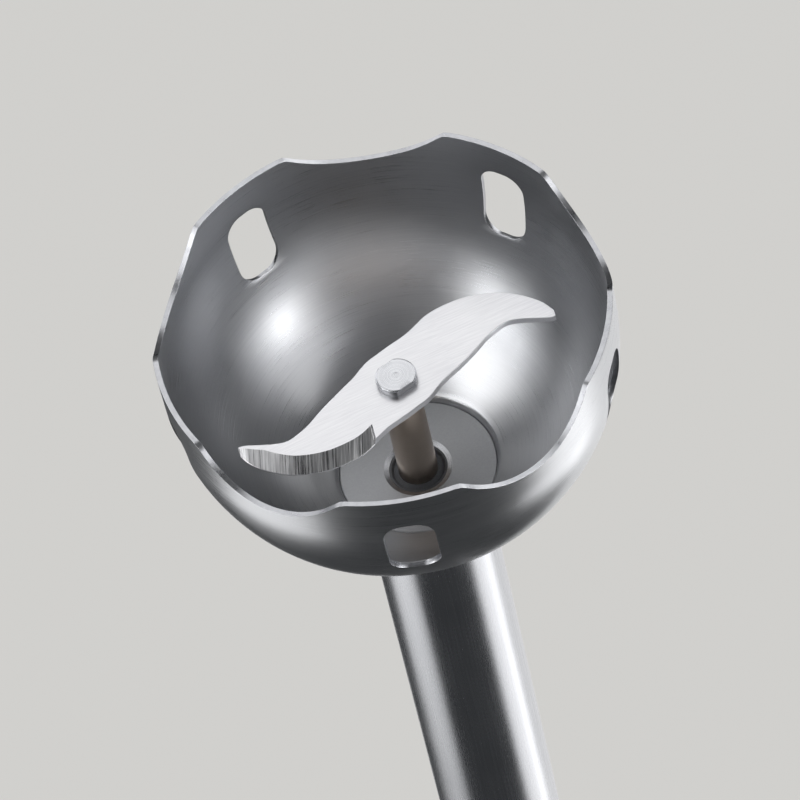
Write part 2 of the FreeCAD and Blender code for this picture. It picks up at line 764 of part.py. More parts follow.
def drive_socket():
    """Socket on the motor shaft, with the six-toothed hole that turns the leg's coupling."""
    top = "motor_unit_height + coupling_length + 1"
    low = f"{top} - drive_socket_length"
    floor = f"{top} - drive_socket_depth - 1"
    outside = rod("drive_socket_outside", "drive_socket_radius", "drive_socket_length", z=low)
    shaft_hole = rod("drive_socket_shaft_hole", "motor_shaft_radius", f"{floor} - 1 - ({low})", z=low)
    root = rod("drive_socket_root", "coupling_root + moving_gap", f"{top} - ({floor}) + 1", z=floor)
    return cut("drive_socket", outside, shaft_hole, root,
               *teeth("drive_socket", floor, "drive_socket_depth + 2", "moving_gap"))


# ---------------------------------------------------------------- motor

def motor_shaft():
    top = "motor_unit_height + coupling_length - drive_socket_depth - 1"
    return rod("motor_shaft", "motor_shaft_radius", f"{top} - fan_bottom + 1", z="fan_bottom - 1")


def cooling_fan():
    """Fan with radial blades under a hub plate."""
    high = "fan_bottom + fan_height"
    hub = ring("cooling_fan_hub", "motor_shaft_radius", "motor_shaft_radius + 2.5", "fan_bottom", high)
    plate = ring("cooling_fan_plate", "motor_shaft_radius", "fan_radius", f"{high} - fan_plate", high)
    blades = []
    for turn in range(0, 360, 36):
        vane = block(f"cooling_fan_vane{turn}_box", ("motor_shaft_radius + 2", "fan_radius"),
                     ("-vane_half_thickness", "vane_half_thickness"),
                     ("fan_bottom + 1", f"{high} - fan_plate / 2"))
        holder = doc.addObject("Part::Compound", f"cooling_fan_vane{turn}")
        holder.Links = [vane]
        holder.Placement = FreeCAD.Placement(FreeCAD.Vector(), FreeCAD.Rotation(UP, turn))
        blades.append(holder)
    return joined("cooling_fan", hub, plate, *blades)


def bearing(name, low):
    return ring(name, "motor_shaft_radius + running_gap", "bearing_radius", low, f"{low} + bearing_width")


def lower_bridge():
    """Plate that carries the lower bearing, with two cheeks for the brush holders."""
    low = "lower_bridge_bottom"
    plate = f"{low} + bridge_plate"
    hub_top = f"{low} + bearing_width + 1"
    whole = turned("lower_bridge_plate", [
        ("motor_shaft_radius + 1", low), ("bridge_radius", low), ("bridge_radius", plate),
        ("bearing_radius + 2", plate), ("bearing_radius + 2", f"{hub_top} + 1"),
        ("bearing_radius", f"{hub_top} + 1"), ("bearing_radius", f"{low} + 1"),
        ("motor_shaft_radius + 1", f"{low} + 1")])
    legs = []
    for turn in (60, 120, 240, 300):
        legs.append(side_tool(f"lower_bridge_leg{turn}", turn,
                              ("stator_radius - stator_yoke", "stator_radius - 0.5"),
                              "bridge_leg_half_width", (low, "stator_bottom")))
    cheeks = []
    for turn in (0, 180):
        cheeks.append(side_tool(f"lower_bridge_cheek{turn}", turn,
                                ("commutator_radius + 4", "bridge_radius - 1"),
                                "bridge_cheek_half_width",
                                (low, "commutator_bottom - 0.5")))
    screws = motor_screw_holes("lower_bridge", low, "bridge_plate")
    return cut("lower_bridge", joined("lower_bridge_solid", whole, *legs, *cheeks), *screws,
               rod("lower_bridge_seat", "bearing_radius", "bearing_width + 2", z=f"{low} + 1"))


def motor_screw_holes(name, low, length):
    return [rod(f"{name}_screw_hole{side}", "motor_screw_radius", f"{length} + 2",
                y=f"{side} * motor_screw_offset", z=f"{low} - 1") for side in (-1, 1)]


def brush_holder_pair():
    holders = []
    for turn in (0, 180):
        reach = ("commutator_radius + 1.5", "bridge_radius - 1")
        outside = side_tool(f"brush_holder_outside{turn}", turn, reach,
                            "brush_half_width + brush_holder_wall",
                            ("commutator_bottom - 0.5", "commutator_bottom + brush_height + 1.5"))
        inside = side_tool(f"brush_holder_inside{turn}", turn,
                           ("commutator_radius", "bridge_radius - 2"), "brush_half_width",
                           ("commutator_bottom + 0.5", "commutator_bottom + brush_height + 0.5"))
        holders.append(cut(f"brush_holder{turn}", outside, inside))
    pair = doc.addObject("Part::Compound", "brush_holders")
    pair.Links = holders
    return pair


def carbon_brush_pair():
    pair = doc.addObject("Part::Compound", "carbon_brushes")
    pair.Links = [side_tool(f"carbon_brush{turn}", turn,
                            ("commutator_radius + 0.05", "commutator_radius + brush_length"),
                            "brush_half_width",
                            ("commutator_bottom + 0.5", "commutator_bottom + brush_height + 0.5"))
                  for turn in (0, 180)]
    return pair


def brush_spring_pair():
    springs = []
    for turn in (0, 180):
        spring = coil_spring(f"brush_spring{turn}", "brush_spring_radius",
                             "bridge_radius - 2 - commutator_radius - brush_length", 4,
                             x="commutator_radius + brush_length",
                             z="commutator_bottom + brush_height / 2 + 0.5", along="x")
        holder = doc.addObject("Part::Compound", f"brush_spring_place{turn}")
        holder.Links = [spring]
        holder.Placement = FreeCAD.Placement(FreeCAD.Vector(), FreeCAD.Rotation(UP, turn))
        springs.append(holder)
    pair = doc.addObject("Part::Compound", "brush_springs")
    pair.Links = springs
    return pair


def commutator():
    """Copper drum with slots between its bars."""
    high = "commutator_bottom + commutator_height"
    drum = ring("commutator_drum", "motor_shaft_radius", "commutator_radius", "commutator_bottom", high)
    slots = [side_tool(f"commutator_slot{turn}", turn,
                       ("commutator_radius - commutator_slot_depth", "commutator_radius + 1"), "0.25",
                       ("commutator_bottom - 1", f"{high} + 1")) for turn in range(0, 360, 30)]
    return cut("commutator", drum, *slots)


def armature_core():
    """Laminated core with twelve winding slots."""
    high = "stator_bottom + stator_height"
    core = ring("armature_core_round", "motor_shaft_radius", "armature_radius", "stator_bottom", high)
    slots = [side_tool(f"armature_slot{turn}", turn,
                       ("armature_radius - armature_slot_depth", "armature_radius + 1"),
                       "armature_slot_half_width", ("stator_bottom - 1", f"{high} + 1"))
             for turn in range(0, 360, 30)]
    return cut("armature_core", core, *slots)


def armature_windings():
    """Copper in the core's slots, joined by a round overhang at each end."""
    high = "stator_bottom + stator_height"
    ends = [ring(f"winding_end{number}", "motor_shaft_radius + 0.5", "armature_radius - 1.5", low, top)
            for number, (low, top) in enumerate((("stator_bottom - winding_overhang", "stator_bottom"),
                                                 (high, f"{high} + winding_overhang")))]
    bars = [side_tool(f"winding_bar{turn}", turn,
                      ("armature_radius - armature_slot_depth", "armature_radius - 2"),
                      "armature_slot_half_width", ("stator_bottom - 1", f"{high} + 1"))
            for turn in range(0, 360, 30)]
    return joined("armature_windings", *ends, *bars)


def coil_space(name, turn, low, high, inner, outer, sweep):
    """Part of a ring, sweep degrees wide, centred on an angle."""
    sector = rod(f"{name}_sector", outer, f"({high}) - ({low})", z=low)
    sector.Angle = sweep
    hole = rod(f"{name}_hole", inner, f"({high}) - ({low}) + 2", z=f"({low}) - 1")
    wedge = cut(name, sector, hole)
    wedge.Placement = FreeCAD.Placement(FreeCAD.Vector(), FreeCAD.Rotation(UP, turn - sweep / 2))
    return wedge


def stator_core():
    """Laminated two-pole core: a ring with a pocket on each side for the field coils."""
    high = "stator_bottom + stator_height"
    core = ring("stator_core_ring", "stator_bore", "stator_radius", "stator_bottom", high)
    pockets = [coil_space(f"stator_pocket{turn}", turn, "stator_bottom - 1", f"{high} + 1",
                          "stator_bore - 1", "stator_radius - stator_yoke", 80) for turn in (0, 180)]
    screws = motor_screw_holes("stator_core", "stator_bottom", "stator_height")
    return cut("stator_core", core, *pockets, *screws)


def field_coil_pair():
    pair = doc.addObject("Part::Compound", "field_coils")
    pair.Links = [coil_space(f"field_coil{turn}", turn, "stator_bottom - coil_overhang",
                             "stator_bottom + stator_height + coil_overhang",
                             "stator_bore + 0.6", "stator_radius - stator_yoke", 80) for turn in (0, 180)]
    return pair


def upper_bridge():
    """Plate over the stator that carries the upper bearing."""
    low = "upper_bridge_bottom"
    plate = f"{low} + upper_bridge_plate"
    hub = f"{low} + 2 + bearing_width"
    whole = turned("upper_bridge_plate", [
        ("motor_shaft_radius + 1", low), ("stator_radius", low), ("stator_radius", plate),
        ("bearing_radius + 2", plate), ("bearing_radius + 2", hub),
        ("bearing_radius", hub), ("bearing_radius", f"{low} + 2"), ("motor_shaft_radius + 1", f"{low} + 2")])
    legs = [side_tool(f"upper_bridge_leg{turn}", turn,
                      ("stator_radius - stator_yoke", "stator_radius - 0.5"),
                      "bridge_leg_half_width", ("stator_bottom + stator_height", low))
            for turn in (60, 120, 240, 300)]
    return cut("upper_bridge", joined("upper_bridge_solid", whole, *legs),
               *motor_screw_holes("upper_bridge", low, "upper_bridge_plate"))


def motor_screw_pair():
    """Two long screws that clamp the stator between the bridges."""
    top = "upper_bridge_bottom + upper_bridge_plate"
    screws = []
    for side in (-1, 1):
        shank = rod(f"motor_screw_shank{side}", "motor_screw_radius", f"{top} - lower_bridge_bottom",
                    y=f"{side} * motor_screw_offset", z="lower_bridge_bottom")
        head = rod(f"motor_screw_head{side}", "2 * motor_screw_radius", "motor_screw_radius",
                   y=f"{side} * motor_screw_offset", z="lower_bridge_bottom - motor_screw_radius")
        screws.append(joined(f"motor_screw{side}", shank, head))
    pair = doc.addObject("Part::Compound", "motor_screws")
    pair.Links = screws
    return pair


def motor_damper_pair():
    """Rubber rings that hang the motor in the shells."""
    pair = doc.addObject("Part::Compound", "motor_dampers")
    outer = "shell_radius - shell_wall"
    pair.Links = [
        ring("motor_damper_low", "bridge_radius", outer,
             "lower_bridge_bottom", "lower_bridge_bottom + damper_wall"),
        ring("motor_damper_high", "stator_radius", outer,
             "upper_bridge_bottom - damper_wall / 2", "upper_bridge_bottom + damper_wall / 2")]
    return pair


# ---------------------------------------------------------------- handle

def cone_radius(height, extra):
    """The shells' outer radius at a height of the tapered grip, plus something extra."""
    taper = "(shell_cone_top - shell_end_radius) / (grip_top - shell_base)"
    return f"shell_end_radius + {taper} * (({height}) - shell_base) + ({extra})"


def tapered_ring(name, inner, outer, low, high):
    """A sleeve that follows the grip's taper; inner and outer are added to the shells' radius."""
    return turned(name, [
        (cone_radius(low, inner), low), (cone_radius(low, outer), low),
        (cone_radius(high, outer), high), (cone_radius(high, inner), high)])


def shell_solid(name):
    """The space that the two shells enclose, walls included."""
    spigot = "collar_radius - nose_ring_wall"
    return turned(name, [
        ("0", "shell_base"), ("shell_end_radius", "shell_base"), ("shell_cone_top", "grip_top"),
        ("shell_radius", "grip_top"), ("shell_radius", "nose_ring_bottom"),
        (spigot, "nose_ring_bottom"), (spigot, "shell_top"), ("0", "shell_top")])


def shell_room(name):
    """The room inside the shells, above their end web."""
    web = "shell_base + shell_web"
    return turned(name, [
        ("0", web), (cone_radius(web, "-shell_wall"), web), ("shell_cone_top - shell_wall", "grip_top"),
        ("shell_radius - shell_wall", "grip_top"), ("shell_radius - shell_wall", "shell_top + 1"),
        ("0", "shell_top + 1")])


def half_shell(name, side, extras, tools):
    """One half of the housing, side -1 for the front; extras are ribs and bosses inside it."""
    reach = "2 * collar_radius"
    y = (f"-({reach})", "0") if side < 0 else ("0", reach)
    skin = cut(f"{name}_skin", shell_solid(f"{name}_solid"), shell_room(f"{name}_room"),
               rod(f"{name}_web_hole", "spigot_radius - 2 * cap_wall", "3 * shell_web",
                   z="shell_base - shell_web"))
    inner = overlap_of(f"{name}_inside", joined(f"{name}_extras", *extras), shell_solid(f"{name}_limit"))
    half = overlap_of(f"{name}_half", joined(f"{name}_whole", skin, inner),
                      block(f"{name}_side", (f"-({reach})", reach), y, ("0", "total_height")))
    return cut(name, half, *tools)


def boss_places():
    return [(side, height) for side in (-1, 1) for height in ("low_screw_height", "high_screw_height")]


def front_shell():
    """Front half: button holes, ribs that hold the circuit board, and blind screw bosses."""
    extras = [cap_boss("front_cap_boss", -1)]
    tools = [cap_boss_hole("front_cap_boss_hole", -1)]
    for side in (-1, 1):
        edge = ("board_width / 2", "spigot_radius + shell_wall")
        x = edge if side > 0 else (f"-({edge[1]})", f"-{edge[0]}")
        extras.append(block(f"front_rib{side}", x, ("-board_face - board_thickness", "-board_face + 3"),
                            ("board_bottom", "board_top")))
    for place_number, (side, height) in enumerate(boss_places()):
        x = f"{side} * boss_offset"
        extras.append(rod(f"front_boss{place_number}", "boss_radius", "boss_offset",
                          x=x, y="-boss_offset", z=height, along="y"))
        tools.append(rod(f"front_pilot{place_number}", "screw_radius", "4 * screw_head_radius",
                         x=x, y="-4 * screw_head_radius", z=height, along="y"))
    for name in ("on", "turbo"):
        tools.append(rod(f"front_{name}_hole", f"{name}_button_radius + moving_gap", "shell_radius",
                         y="-shell_radius - 5", z=f"{name}_button_height", along="y"))
    return half_shell("front_shell", -1, extras, tools)


def rear_shell():
    """Rear half: cord inlet hole, clamp posts, and bosses with seats for the screw heads."""
    extras = [cap_boss("rear_cap_boss", 1)]
    tools = [cap_boss_hole("rear_cap_boss_hole", 1)]
    for place_number, (side, height) in enumerate(boss_places()):
        x = f"{side} * boss_offset"
        extras.append(rod(f"rear_boss{place_number}", "boss_radius + 0.6", "shell_radius",
                          x=x, z=height, along="y"))
        tools.append(rod(f"rear_shank_hole{place_number}", "screw_radius", "shell_radius",
                         x=x, y="-1", z=height, along="y"))
        tools.append(rod(f"rear_head_seat{place_number}", "screw_head_radius", "shell_radius",
                         x=x, y="screw_seat", z=height, along="y"))
    for side in (-1, 1):
        extras.append(rod(f"rear_clamp_post{side}", "clamp_post_radius", "shell_radius",
                          x=f"{side} * clamp_offset", y="clamp_face", z="inlet_height", along="y"))
        tools.append(rod(f"rear_clamp_pilot{side}", "screw_radius", "clamp_screw_depth",
                         x=f"{side} * clamp_offset", y="clamp_face", z="inlet_height", along="y"))
    tools.append(rod("rear_inlet_hole", "inlet_radius", "shell_radius",
                     y="clamp_face", z="inlet_height", along="y"))
    return half_shell("rear_shell", 1, extras, tools)


def cap_boss(name, side):
    """A boss on a shell's end web, where an end cap screw holds."""
    return rod(name, "boss_radius", "cap_boss", y=f"{side} * cap_screw_offset", z="shell_base")


def cap_boss_hole(name, side):
    return rod(name, "screw_radius", "cap_boss", y=f"{side} * cap_screw_offset", z="shell_base - 1")


def grip_outline(name, grow):
    """A long rounded window on the front, from the axis outwards, for the button bezel."""
    body = doc.addObject("PartDesign::Body", name)
    half = f"(bezel_width / 2 + {grow})"
    low = f"bezel_bottom - {grow}"
    high = f"bezel_top + {grow}"
    outline = [(f"-{half}", low), (half, low), (half, high), (f"-{half}", high)]
    pad = body.newObject("PartDesign::Pad", name + "_pad")
    pad.Profile = sketch_on(body, "XZ_Plane", outline, name + "_outline")
    bind(pad, "Length", "2 * collar_radius")
    body.Tip = pad
    return rounded(body, "bezel_corner", lambda edge: abs(edge.tangentAt(0).y) > 0.9)


def grip_sleeve():
    """Soft sleeve moulded over the shells, open at the front for the bezel."""
    sleeve = tapered_ring("grip_sleeve_whole", "0", "grip_thickness", "shell_base", "grip_top")
    inlet = rod("grip_inlet_hole", "inlet_radius", "2 * collar_radius", z="inlet_height", along="y")
    return cut("grip_sleeve", sleeve, grip_outline("grip_window", "0"), inlet)


def steel_band():
    return ring("steel_band", "shell_radius", "collar_radius", "grip_top", "nose_ring_bottom")


def button_bezel():
    """Glossy panel in the grip's window, with a round hole for each button."""
    layer = tapered_ring("button_bezel_layer", "0", "grip_thickness + bezel_proud", "shell_base", "grip_top")
    panel = overlap_of("button_bezel_panel", layer, grip_outline("button_bezel_edge", "0"))
    holes = [rod(f"bezel_{name}_hole", f"{name}_button_radius + moving_gap", "2 * collar_radius",
                 y="-2 * collar_radius", z=f"{name}_button_height", along="y") for name in ("on", "turbo")]
    return cut("button_bezel", panel, *holes)


def push_button(name):
    """A domed button with a flange behind the shell; it slides towards the handle's axis."""
    radius = f"{name}_radius"
    flange = f"{radius} + button_flange"
    back = "button_flange_face - button_flange_plate"
    body = turned(name, [
        ("0", f"{back} - button_stem"), ("button_stem_radius", f"{back} - button_stem"),
        ("button_stem_radius", back), (flange, back), (flange, "button_flange_face"),
        (radius, "button_flange_face"), (radius, "button_front"), ("0", "button_front")])
    rounded(body, "button_dome", circle_at(size(radius), size("button_front")))
    body.Placement.Rotation = FreeCAD.Rotation(UP, FreeCAD.Vector(0, -1, 0))
    return place(body, z=f"{name}_height")


def button_sleeve(name):
    """Silicone sleeve round a switch, standing on the board, that pushes the button back out."""
    inner = "sleeve_radius - sleeve_wall"
    high = "button_flange_face - button_flange_plate"
    middle = f"(board_face + {high}) / 2"
    sleeve = turned(f"{name}_sleeve", [
        (inner, "board_face"), ("sleeve_radius", "board_face"), ("sleeve_radius + sleeve_bulge", middle),
        ("sleeve_radius", high), (inner, high), (f"{inner} + sleeve_bulge", middle)])
    sleeve.Placement.Rotation = FreeCAD.Rotation(UP, FreeCAD.Vector(0, -1, 0))
    return place(sleeve, z=f"{name}_height")


def circuit_board():
    return block("circuit_board", ("-board_width / 2", "board_width / 2"),
                 ("-board_face", "-board_face + board_thickness"), ("board_bottom", "board_top"))


def button_switch_pair():
    pair = doc.addObject("Part::Compound", "button_switches")
    half = "switch_size / 2"
    pair.Links = [block(f"{name}_switch", (f"-{half}", half), ("-board_face - switch_height", "-board_face"),
                        (f"{name}_button_height - {half}", f"{name}_button_height + {half}"))
                  for name in ("on", "turbo")]
    return pair


def suppression_capacitor():
    behind = "-board_face + board_thickness"
    return block("suppression_capacitor", ("-capacitor_width / 2", "capacitor_width / 2"),
                 (behind, f"{behind} + capacitor_depth"),
                 ("turbo_button_height - capacitor_depth", "turbo_button_height + capacitor_depth"))


def end_cap():
    """Flat end that the blender stands on, with a spigot for the dial and two screw posts."""
    body = turned("end_cap_turned", [
        ("0", "0"), ("cap_radius - cap_bevel", "0"), ("cap_radius", "cap_bevel"),
        ("cap_radius", "cap_height"), ("spigot_radius", "cap_height"), ("spigot_radius", "shell_base"),
        ("spigot_radius - cap_wall", "shell_base"), ("spigot_radius - cap_wall", "cap_floor"),
        ("0", "cap_floor")])
    posts = []
    tools = []
    for side in (-1, 1):
        y = f"{side} * cap_screw_offset"
        posts.append(rod(f"end_cap_post{side}", "boss_radius", "shell_base - cap_floor", y=y, z="cap_floor"))
        tools.append(rod(f"end_cap_hole{side}", "screw_radius", "2 * shell_base", y=y, z="-1"))
        tools.append(rod(f"end_cap_seat{side}", "screw_head_radius", "cap_floor / 2 + 1", y=y, z="-1"))
    return cut("end_cap", joined("end_cap_solid", body, *posts), *tools)


def screw(name, length, along, **seat):
    """A screw that runs along an axis from its seat, with its round head before the seat."""
    shank = rod(f"{name}_shank", "screw_radius", length, along=along, **seat)
    head_start = {**seat, along: f"{seat[along]} - screw_head_height"}
    head = rod(f"{name}_head", "screw_head_radius", "screw_head_height", along=along, **head_start)
    return joined(name, shank, head)


def cap_screw_pair():
    pair = doc.addObject("Part::Compound", "cap_screws")
    pair.Links = [screw(f"cap_screw{side}", "shell_base + cap_boss - 1 - cap_floor / 2", "z",
                        y=f"{side} * cap_screw_offset", z="cap_floor / 2") for side in (-1, 1)]
    return pair


def housing_screw_set():
    """Four screws, put in from behind, that close the two shells on each other."""
    screws = []
    for number, (side, height) in enumerate(boss_places()):
        x = f"{side} * boss_offset"
        shank = rod(f"housing_screw_shank{number}", "screw_radius", "screw_seat + 3 * screw_head_radius",
                    x=x, y="-3 * screw_head_radius", z=height, along="y")
        head = rod(f"housing_screw_head{number}", "screw_head_radius", "screw_head_height",
                   x=x, y="screw_seat", z=height, along="y")
        screws.append(joined(f"housing_screw{number}", shank, head))
    group = doc.addObject("Part::Compound", "housing_screws")
    group.Links = screws
    return group


def speed_dial():
    """Ring round the end cap's spigot, with finger flutes."""
    low = "cap_height + moving_gap"
    high = "shell_base - moving_gap"
    whole = ring("speed_dial_ring", "dial_bore", "dial_radius", low, high)
    doc.recompute()
    bottom = size("cap_height") + size("moving_gap")
    top = bottom + size("dial_height")
    for height in (bottom, top):
        rounded(whole, "dial_rounding", circle_at(size("dial_radius"), height))
    flutes = [side_tool(f"speed_dial_flute{turn}", turn, ("dial_radius - flute_depth", "dial_radius + 1"),
                        "flute_depth", (f"{low} + 2 * dial_rounding", f"{high} - 2 * dial_rounding"))
              for turn in range(0, 360, 12)]
    magnet = rod("speed_dial_magnet_hole", "magnet_radius", "magnet_depth",
                 y="dial_bore - 0.01", z="cap_height + moving_gap + dial_height / 2", along="y")
    return cut("speed_dial", whole, magnet, *flutes)


def dial_magnet():
    """Magnet let into the dial's bore, which the sensor in the spigot reads."""
    return rod("dial_magnet_rod", "magnet_radius", "magnet_depth - 0.2",
               y="dial_bore + 0.19", z="cap_height + moving_gap + dial_height / 2", along="y")


def dial_sensor():
    """Small sensor board inside the spigot, facing the dial's magnet."""
    middle = "(cap_height + moving_gap + dial_height / 2)"
    face = "spigot_radius - cap_wall - board_thickness - boss_radius"
    return block("dial_sensor", ("boss_radius + 1", "boss_radius + switch_size"),
                 (face, f"{face} + board_thickness"), ("cap_floor", f"{middle} + switch_size / 2"))


def cord_inlet():
    """Rubber bush in the rear shell where the cord comes in, with a flange inside."""
    low = "clamp_face + inlet_seat"
    flange = f"{low} + inlet_flange"
    end = "shell_end_radius + grip_thickness + inlet_reach"
    bush = turned("cord_inlet", [
        ("inlet_bore", low), ("inlet_radius + inlet_flange", low), ("inlet_radius + inlet_flange", flange),
        ("inlet_radius", flange), ("inlet_radius", "shell_end_radius + grip_thickness"),
        ("inlet_radius - inlet_taper", end), ("inlet_bore", end)])
    bush.Placement.Rotation = FreeCAD.Rotation(UP, FreeCAD.Vector(0, 1, 0))
    return place(bush, z="inlet_height")


def cord_clamp():
    """Bar that grips the cord just inside its inlet."""
    reach = "clamp_offset + clamp_post_radius"
    bar = block("cord_clamp_bar", (f"-({reach})", reach), ("clamp_face - clamp_bar", "clamp_face"),
                ("inlet_height - clamp_half_height", "inlet_height + clamp_half_height"))
    tools = [rod("cord_clamp_hole", "inlet_bore - 0.3", "clamp_bar + 2", y="clamp_face - clamp_bar - 1",
                 z="inlet_height", along="y")]
    for side in (-1, 1):
        tools.append(rod(f"cord_clamp_screw_hole{side}", "screw_radius", "clamp_bar + 2",
                         x=f"{side} * clamp_offset", y="clamp_face - clamp_bar - 1",
                         z="inlet_height", along="y"))
    return cut("cord_clamp", bar, *tools)


def clamp_screw_pair():
    pair = doc.addObject("Part::Compound", "clamp_screws")
    pair.Links = [screw(f"clamp_screw{side}", "clamp_bar + clamp_screw_depth - 1", "y",
                        x=f"{side} * clamp_offset", y="clamp_face - clamp_bar", z="inlet_height")
                  for side in (-1, 1)]
    return pair


def release_spring(name, turn):
    """Spring between the upper bridge's hub and a release button's arm."""
    spring = coil_spring(name + ("_coil" if turn else ""), "release_spring_radius",
                         "arm_inner - bearing_radius - 2", 4, x="bearing_radius + 2",
                         z="release_bottom + arm_thickness - 0.2", along="x")
    if not turn:
        return spring
    holder = doc.addObject("Part::Compound", name)
    holder.Links = [spring]
    return turned_half(holder)


# ---------------------------------------------------------------- the blender, piece by piece

PIECES = {
    "bell_guard": bell_guard, "leg_tube": leg_tube, "seal_carrier": seal_carrier,
    "shaft_seal": shaft_seal, "foot_bush": foot_bush, "drive_shaft": drive_shaft,
    "shaft_clip": shaft_clip, "thrust_washer": thrust_washer, "driven_coupling": driven_coupling,
    "blade": blade, "blade_nut": blade_nut, "leg_collar": leg_collar, "collar_core": collar_core,
    "collar_bush": collar_bush, "shaft_damper": shaft_damper, "motor_nose": motor_nose,
    "plug_seal": plug_seal, "drive_socket": drive_socket, "motor_shaft": motor_shaft,
    "cooling_fan": cooling_fan, "lower_bridge": lower_bridge, "upper_bridge": upper_bridge,
    "brush_holders": brush_holder_pair, "carbon_brushes": carbon_brush_pair,
    "brush_springs": brush_spring_pair, "commutator": commutator, "armature_core": armature_core,
    "armature_windings": armature_windings, "stator_core": stator_core, "field_coils": field_coil_pair,
    "motor_screws": motor_screw_pair, "motor_dampers": motor_damper_pair, "front_shell": front_shell,
    "rear_shell": rear_shell, "grip_sleeve": grip_sleeve, "steel_band": steel_band,
    "button_bezel": button_bezel, "circuit_board": circuit_board, "button_switches": button_switch_pair,
    "suppression_capacitor": suppression_capacitor, "end_cap": end_cap, "cap_screws": cap_screw_pair,
    "housing_screws": housing_screw_set, "speed_dial": speed_dial, "dial_magnet": dial_magnet,
    "dial_sensor": dial_sensor, "cord_inlet": cord_inlet, "cord_clamp": cord_clamp,
    "clamp_screws": clamp_screw_pair,
}
for node, make in PIECES.items():
    keep(make(), node)
keep(bearing("lower_bearing", "lower_bridge_bottom + 1"), "lower_bearing")
keep(bearing("upper_bearing", "upper_bridge_bottom + 2"), "upper_bearing")
for side, half_turn in (("right", 0), ("left", 180)):
    keep(release_button(f"release_button_{side}", half_turn), f"release_button_{side}")
    keep(release_spring(f"release_spring_{side}", half_turn), f"release_spring_{side}")
for button in ("on_button", "turbo_button"):
    keep(push_button(button), button)
    keep(button_sleeve(button), f"{button}_sleeve")
doc.recompute()

faults = [f"{item.Name}: {item.State}" for item in doc.Objects if {"Invalid", "Error"} & set(item.State)]
for item in kept:
    if item.Shape.isNull() or not item.Shape.isValid() or item.Shape.Volume <= 0:
        faults.append(f"{item.Label}: no valid shape")
if faults:
    raise RuntimeError("; ".join(faults))

os.makedirs("parts", exist_ok=True)
for item in kept:
    item.Shape.exportStep(os.path.join("parts", f"{item.Label}.step"))
print(f"{len(kept)} sub-parts written")
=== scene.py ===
"""The looks of an immersion blender that stands on the end of its handle with its blending bell up.

Everything is in the CAD frame: +Z runs from the handle's flat end to the bell's mouth, and the push
buttons face -Y. Outlines are written in millimetres, as (radius, height) from the blender's axis and
the handle's end, and each mesh is in metres.
"""

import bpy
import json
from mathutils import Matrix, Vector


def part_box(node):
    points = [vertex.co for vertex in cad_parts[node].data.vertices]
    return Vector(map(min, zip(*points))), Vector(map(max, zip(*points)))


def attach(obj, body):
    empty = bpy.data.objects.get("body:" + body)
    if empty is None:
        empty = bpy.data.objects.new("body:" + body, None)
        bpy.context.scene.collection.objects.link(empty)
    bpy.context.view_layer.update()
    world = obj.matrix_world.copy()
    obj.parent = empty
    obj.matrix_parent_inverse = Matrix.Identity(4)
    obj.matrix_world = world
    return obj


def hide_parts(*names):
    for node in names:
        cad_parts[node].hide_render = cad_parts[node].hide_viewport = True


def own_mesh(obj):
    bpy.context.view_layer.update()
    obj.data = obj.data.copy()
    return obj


bl_info = {
    "name": "Immersion Blender",
    "version": (1, 0, 0),
    "blender": (4, 5, 0),
    "location": "View3D > Sidebar > Blender",
    "description": "Builds the visible pieces of an immersion blender, and a stage for it",
    "category": "Object",
}

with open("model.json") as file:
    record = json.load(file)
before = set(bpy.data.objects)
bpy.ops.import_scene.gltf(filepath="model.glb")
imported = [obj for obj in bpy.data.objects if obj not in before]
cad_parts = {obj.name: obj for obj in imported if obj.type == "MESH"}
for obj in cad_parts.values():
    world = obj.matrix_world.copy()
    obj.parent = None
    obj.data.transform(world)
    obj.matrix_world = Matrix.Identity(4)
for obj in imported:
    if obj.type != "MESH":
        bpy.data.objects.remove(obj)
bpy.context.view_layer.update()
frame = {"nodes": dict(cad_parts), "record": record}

import json
import math

import bmesh
import bpy
from bpy.props import FloatProperty, FloatVectorProperty, IntProperty, PointerProperty
from mathutils import Matrix, Vector

MM = 0.001
FULL_TURN = 2 * math.pi
# vertices closer than this are the same one
SEAM = 0.004 * MM
# faces round a large piece and round a small one
STEPS = 240
SMALL_STEPS = 96
# faces along a rounded corner, and along a bend at least LONG_BEND mm long
CORNER_SEGMENTS = 5
BEND_SEGMENTS = 20
LONG_BEND = 2

BODY_OF = {node: body for body, nodes in frame["record"]["behaviour"]["bodies"].items() for node in nodes}
SLOT_OF = {part["node"]: part["material_slot"] for part in frame["record"]["subparts"]}


def span(node):
    """The lowest and highest corner of a CAD node, in millimetres."""
    return [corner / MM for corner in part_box(node)]


BELL_LOW, BELL_HIGH = span("bell_guard")
MOUTH = BELL_HIGH.z
BELL_RADIUS = BELL_HIGH.x
FLOOR = span("seal_carrier")[1].z
TUBE_LOW, TUBE_HIGH = span("leg_tube")
COLLAR_LOW, COLLAR_HIGH = span("leg_collar")
BLADE_LOW, BLADE_HIGH = span("blade")
NUT_LOW, NUT_HIGH = span("blade_nut")
SHAFT_LOW, SHAFT_HIGH = span("drive_shaft")
SEAL_LOW, SEAL_HIGH = span("shaft_seal")
BAND_LOW, BAND_HIGH = span("steel_band")

# sizes that the boxes don't show, in millimetres and degrees
SHAFT_RADIUS = 2.95
NUT_RADIUS = 3.05
NUT_FLAT = 2.6
BLADE_REST_ANGLE = 18.4
GRIP_FOOT_RADIUS = 25.6
GRIP_RIBS = 10

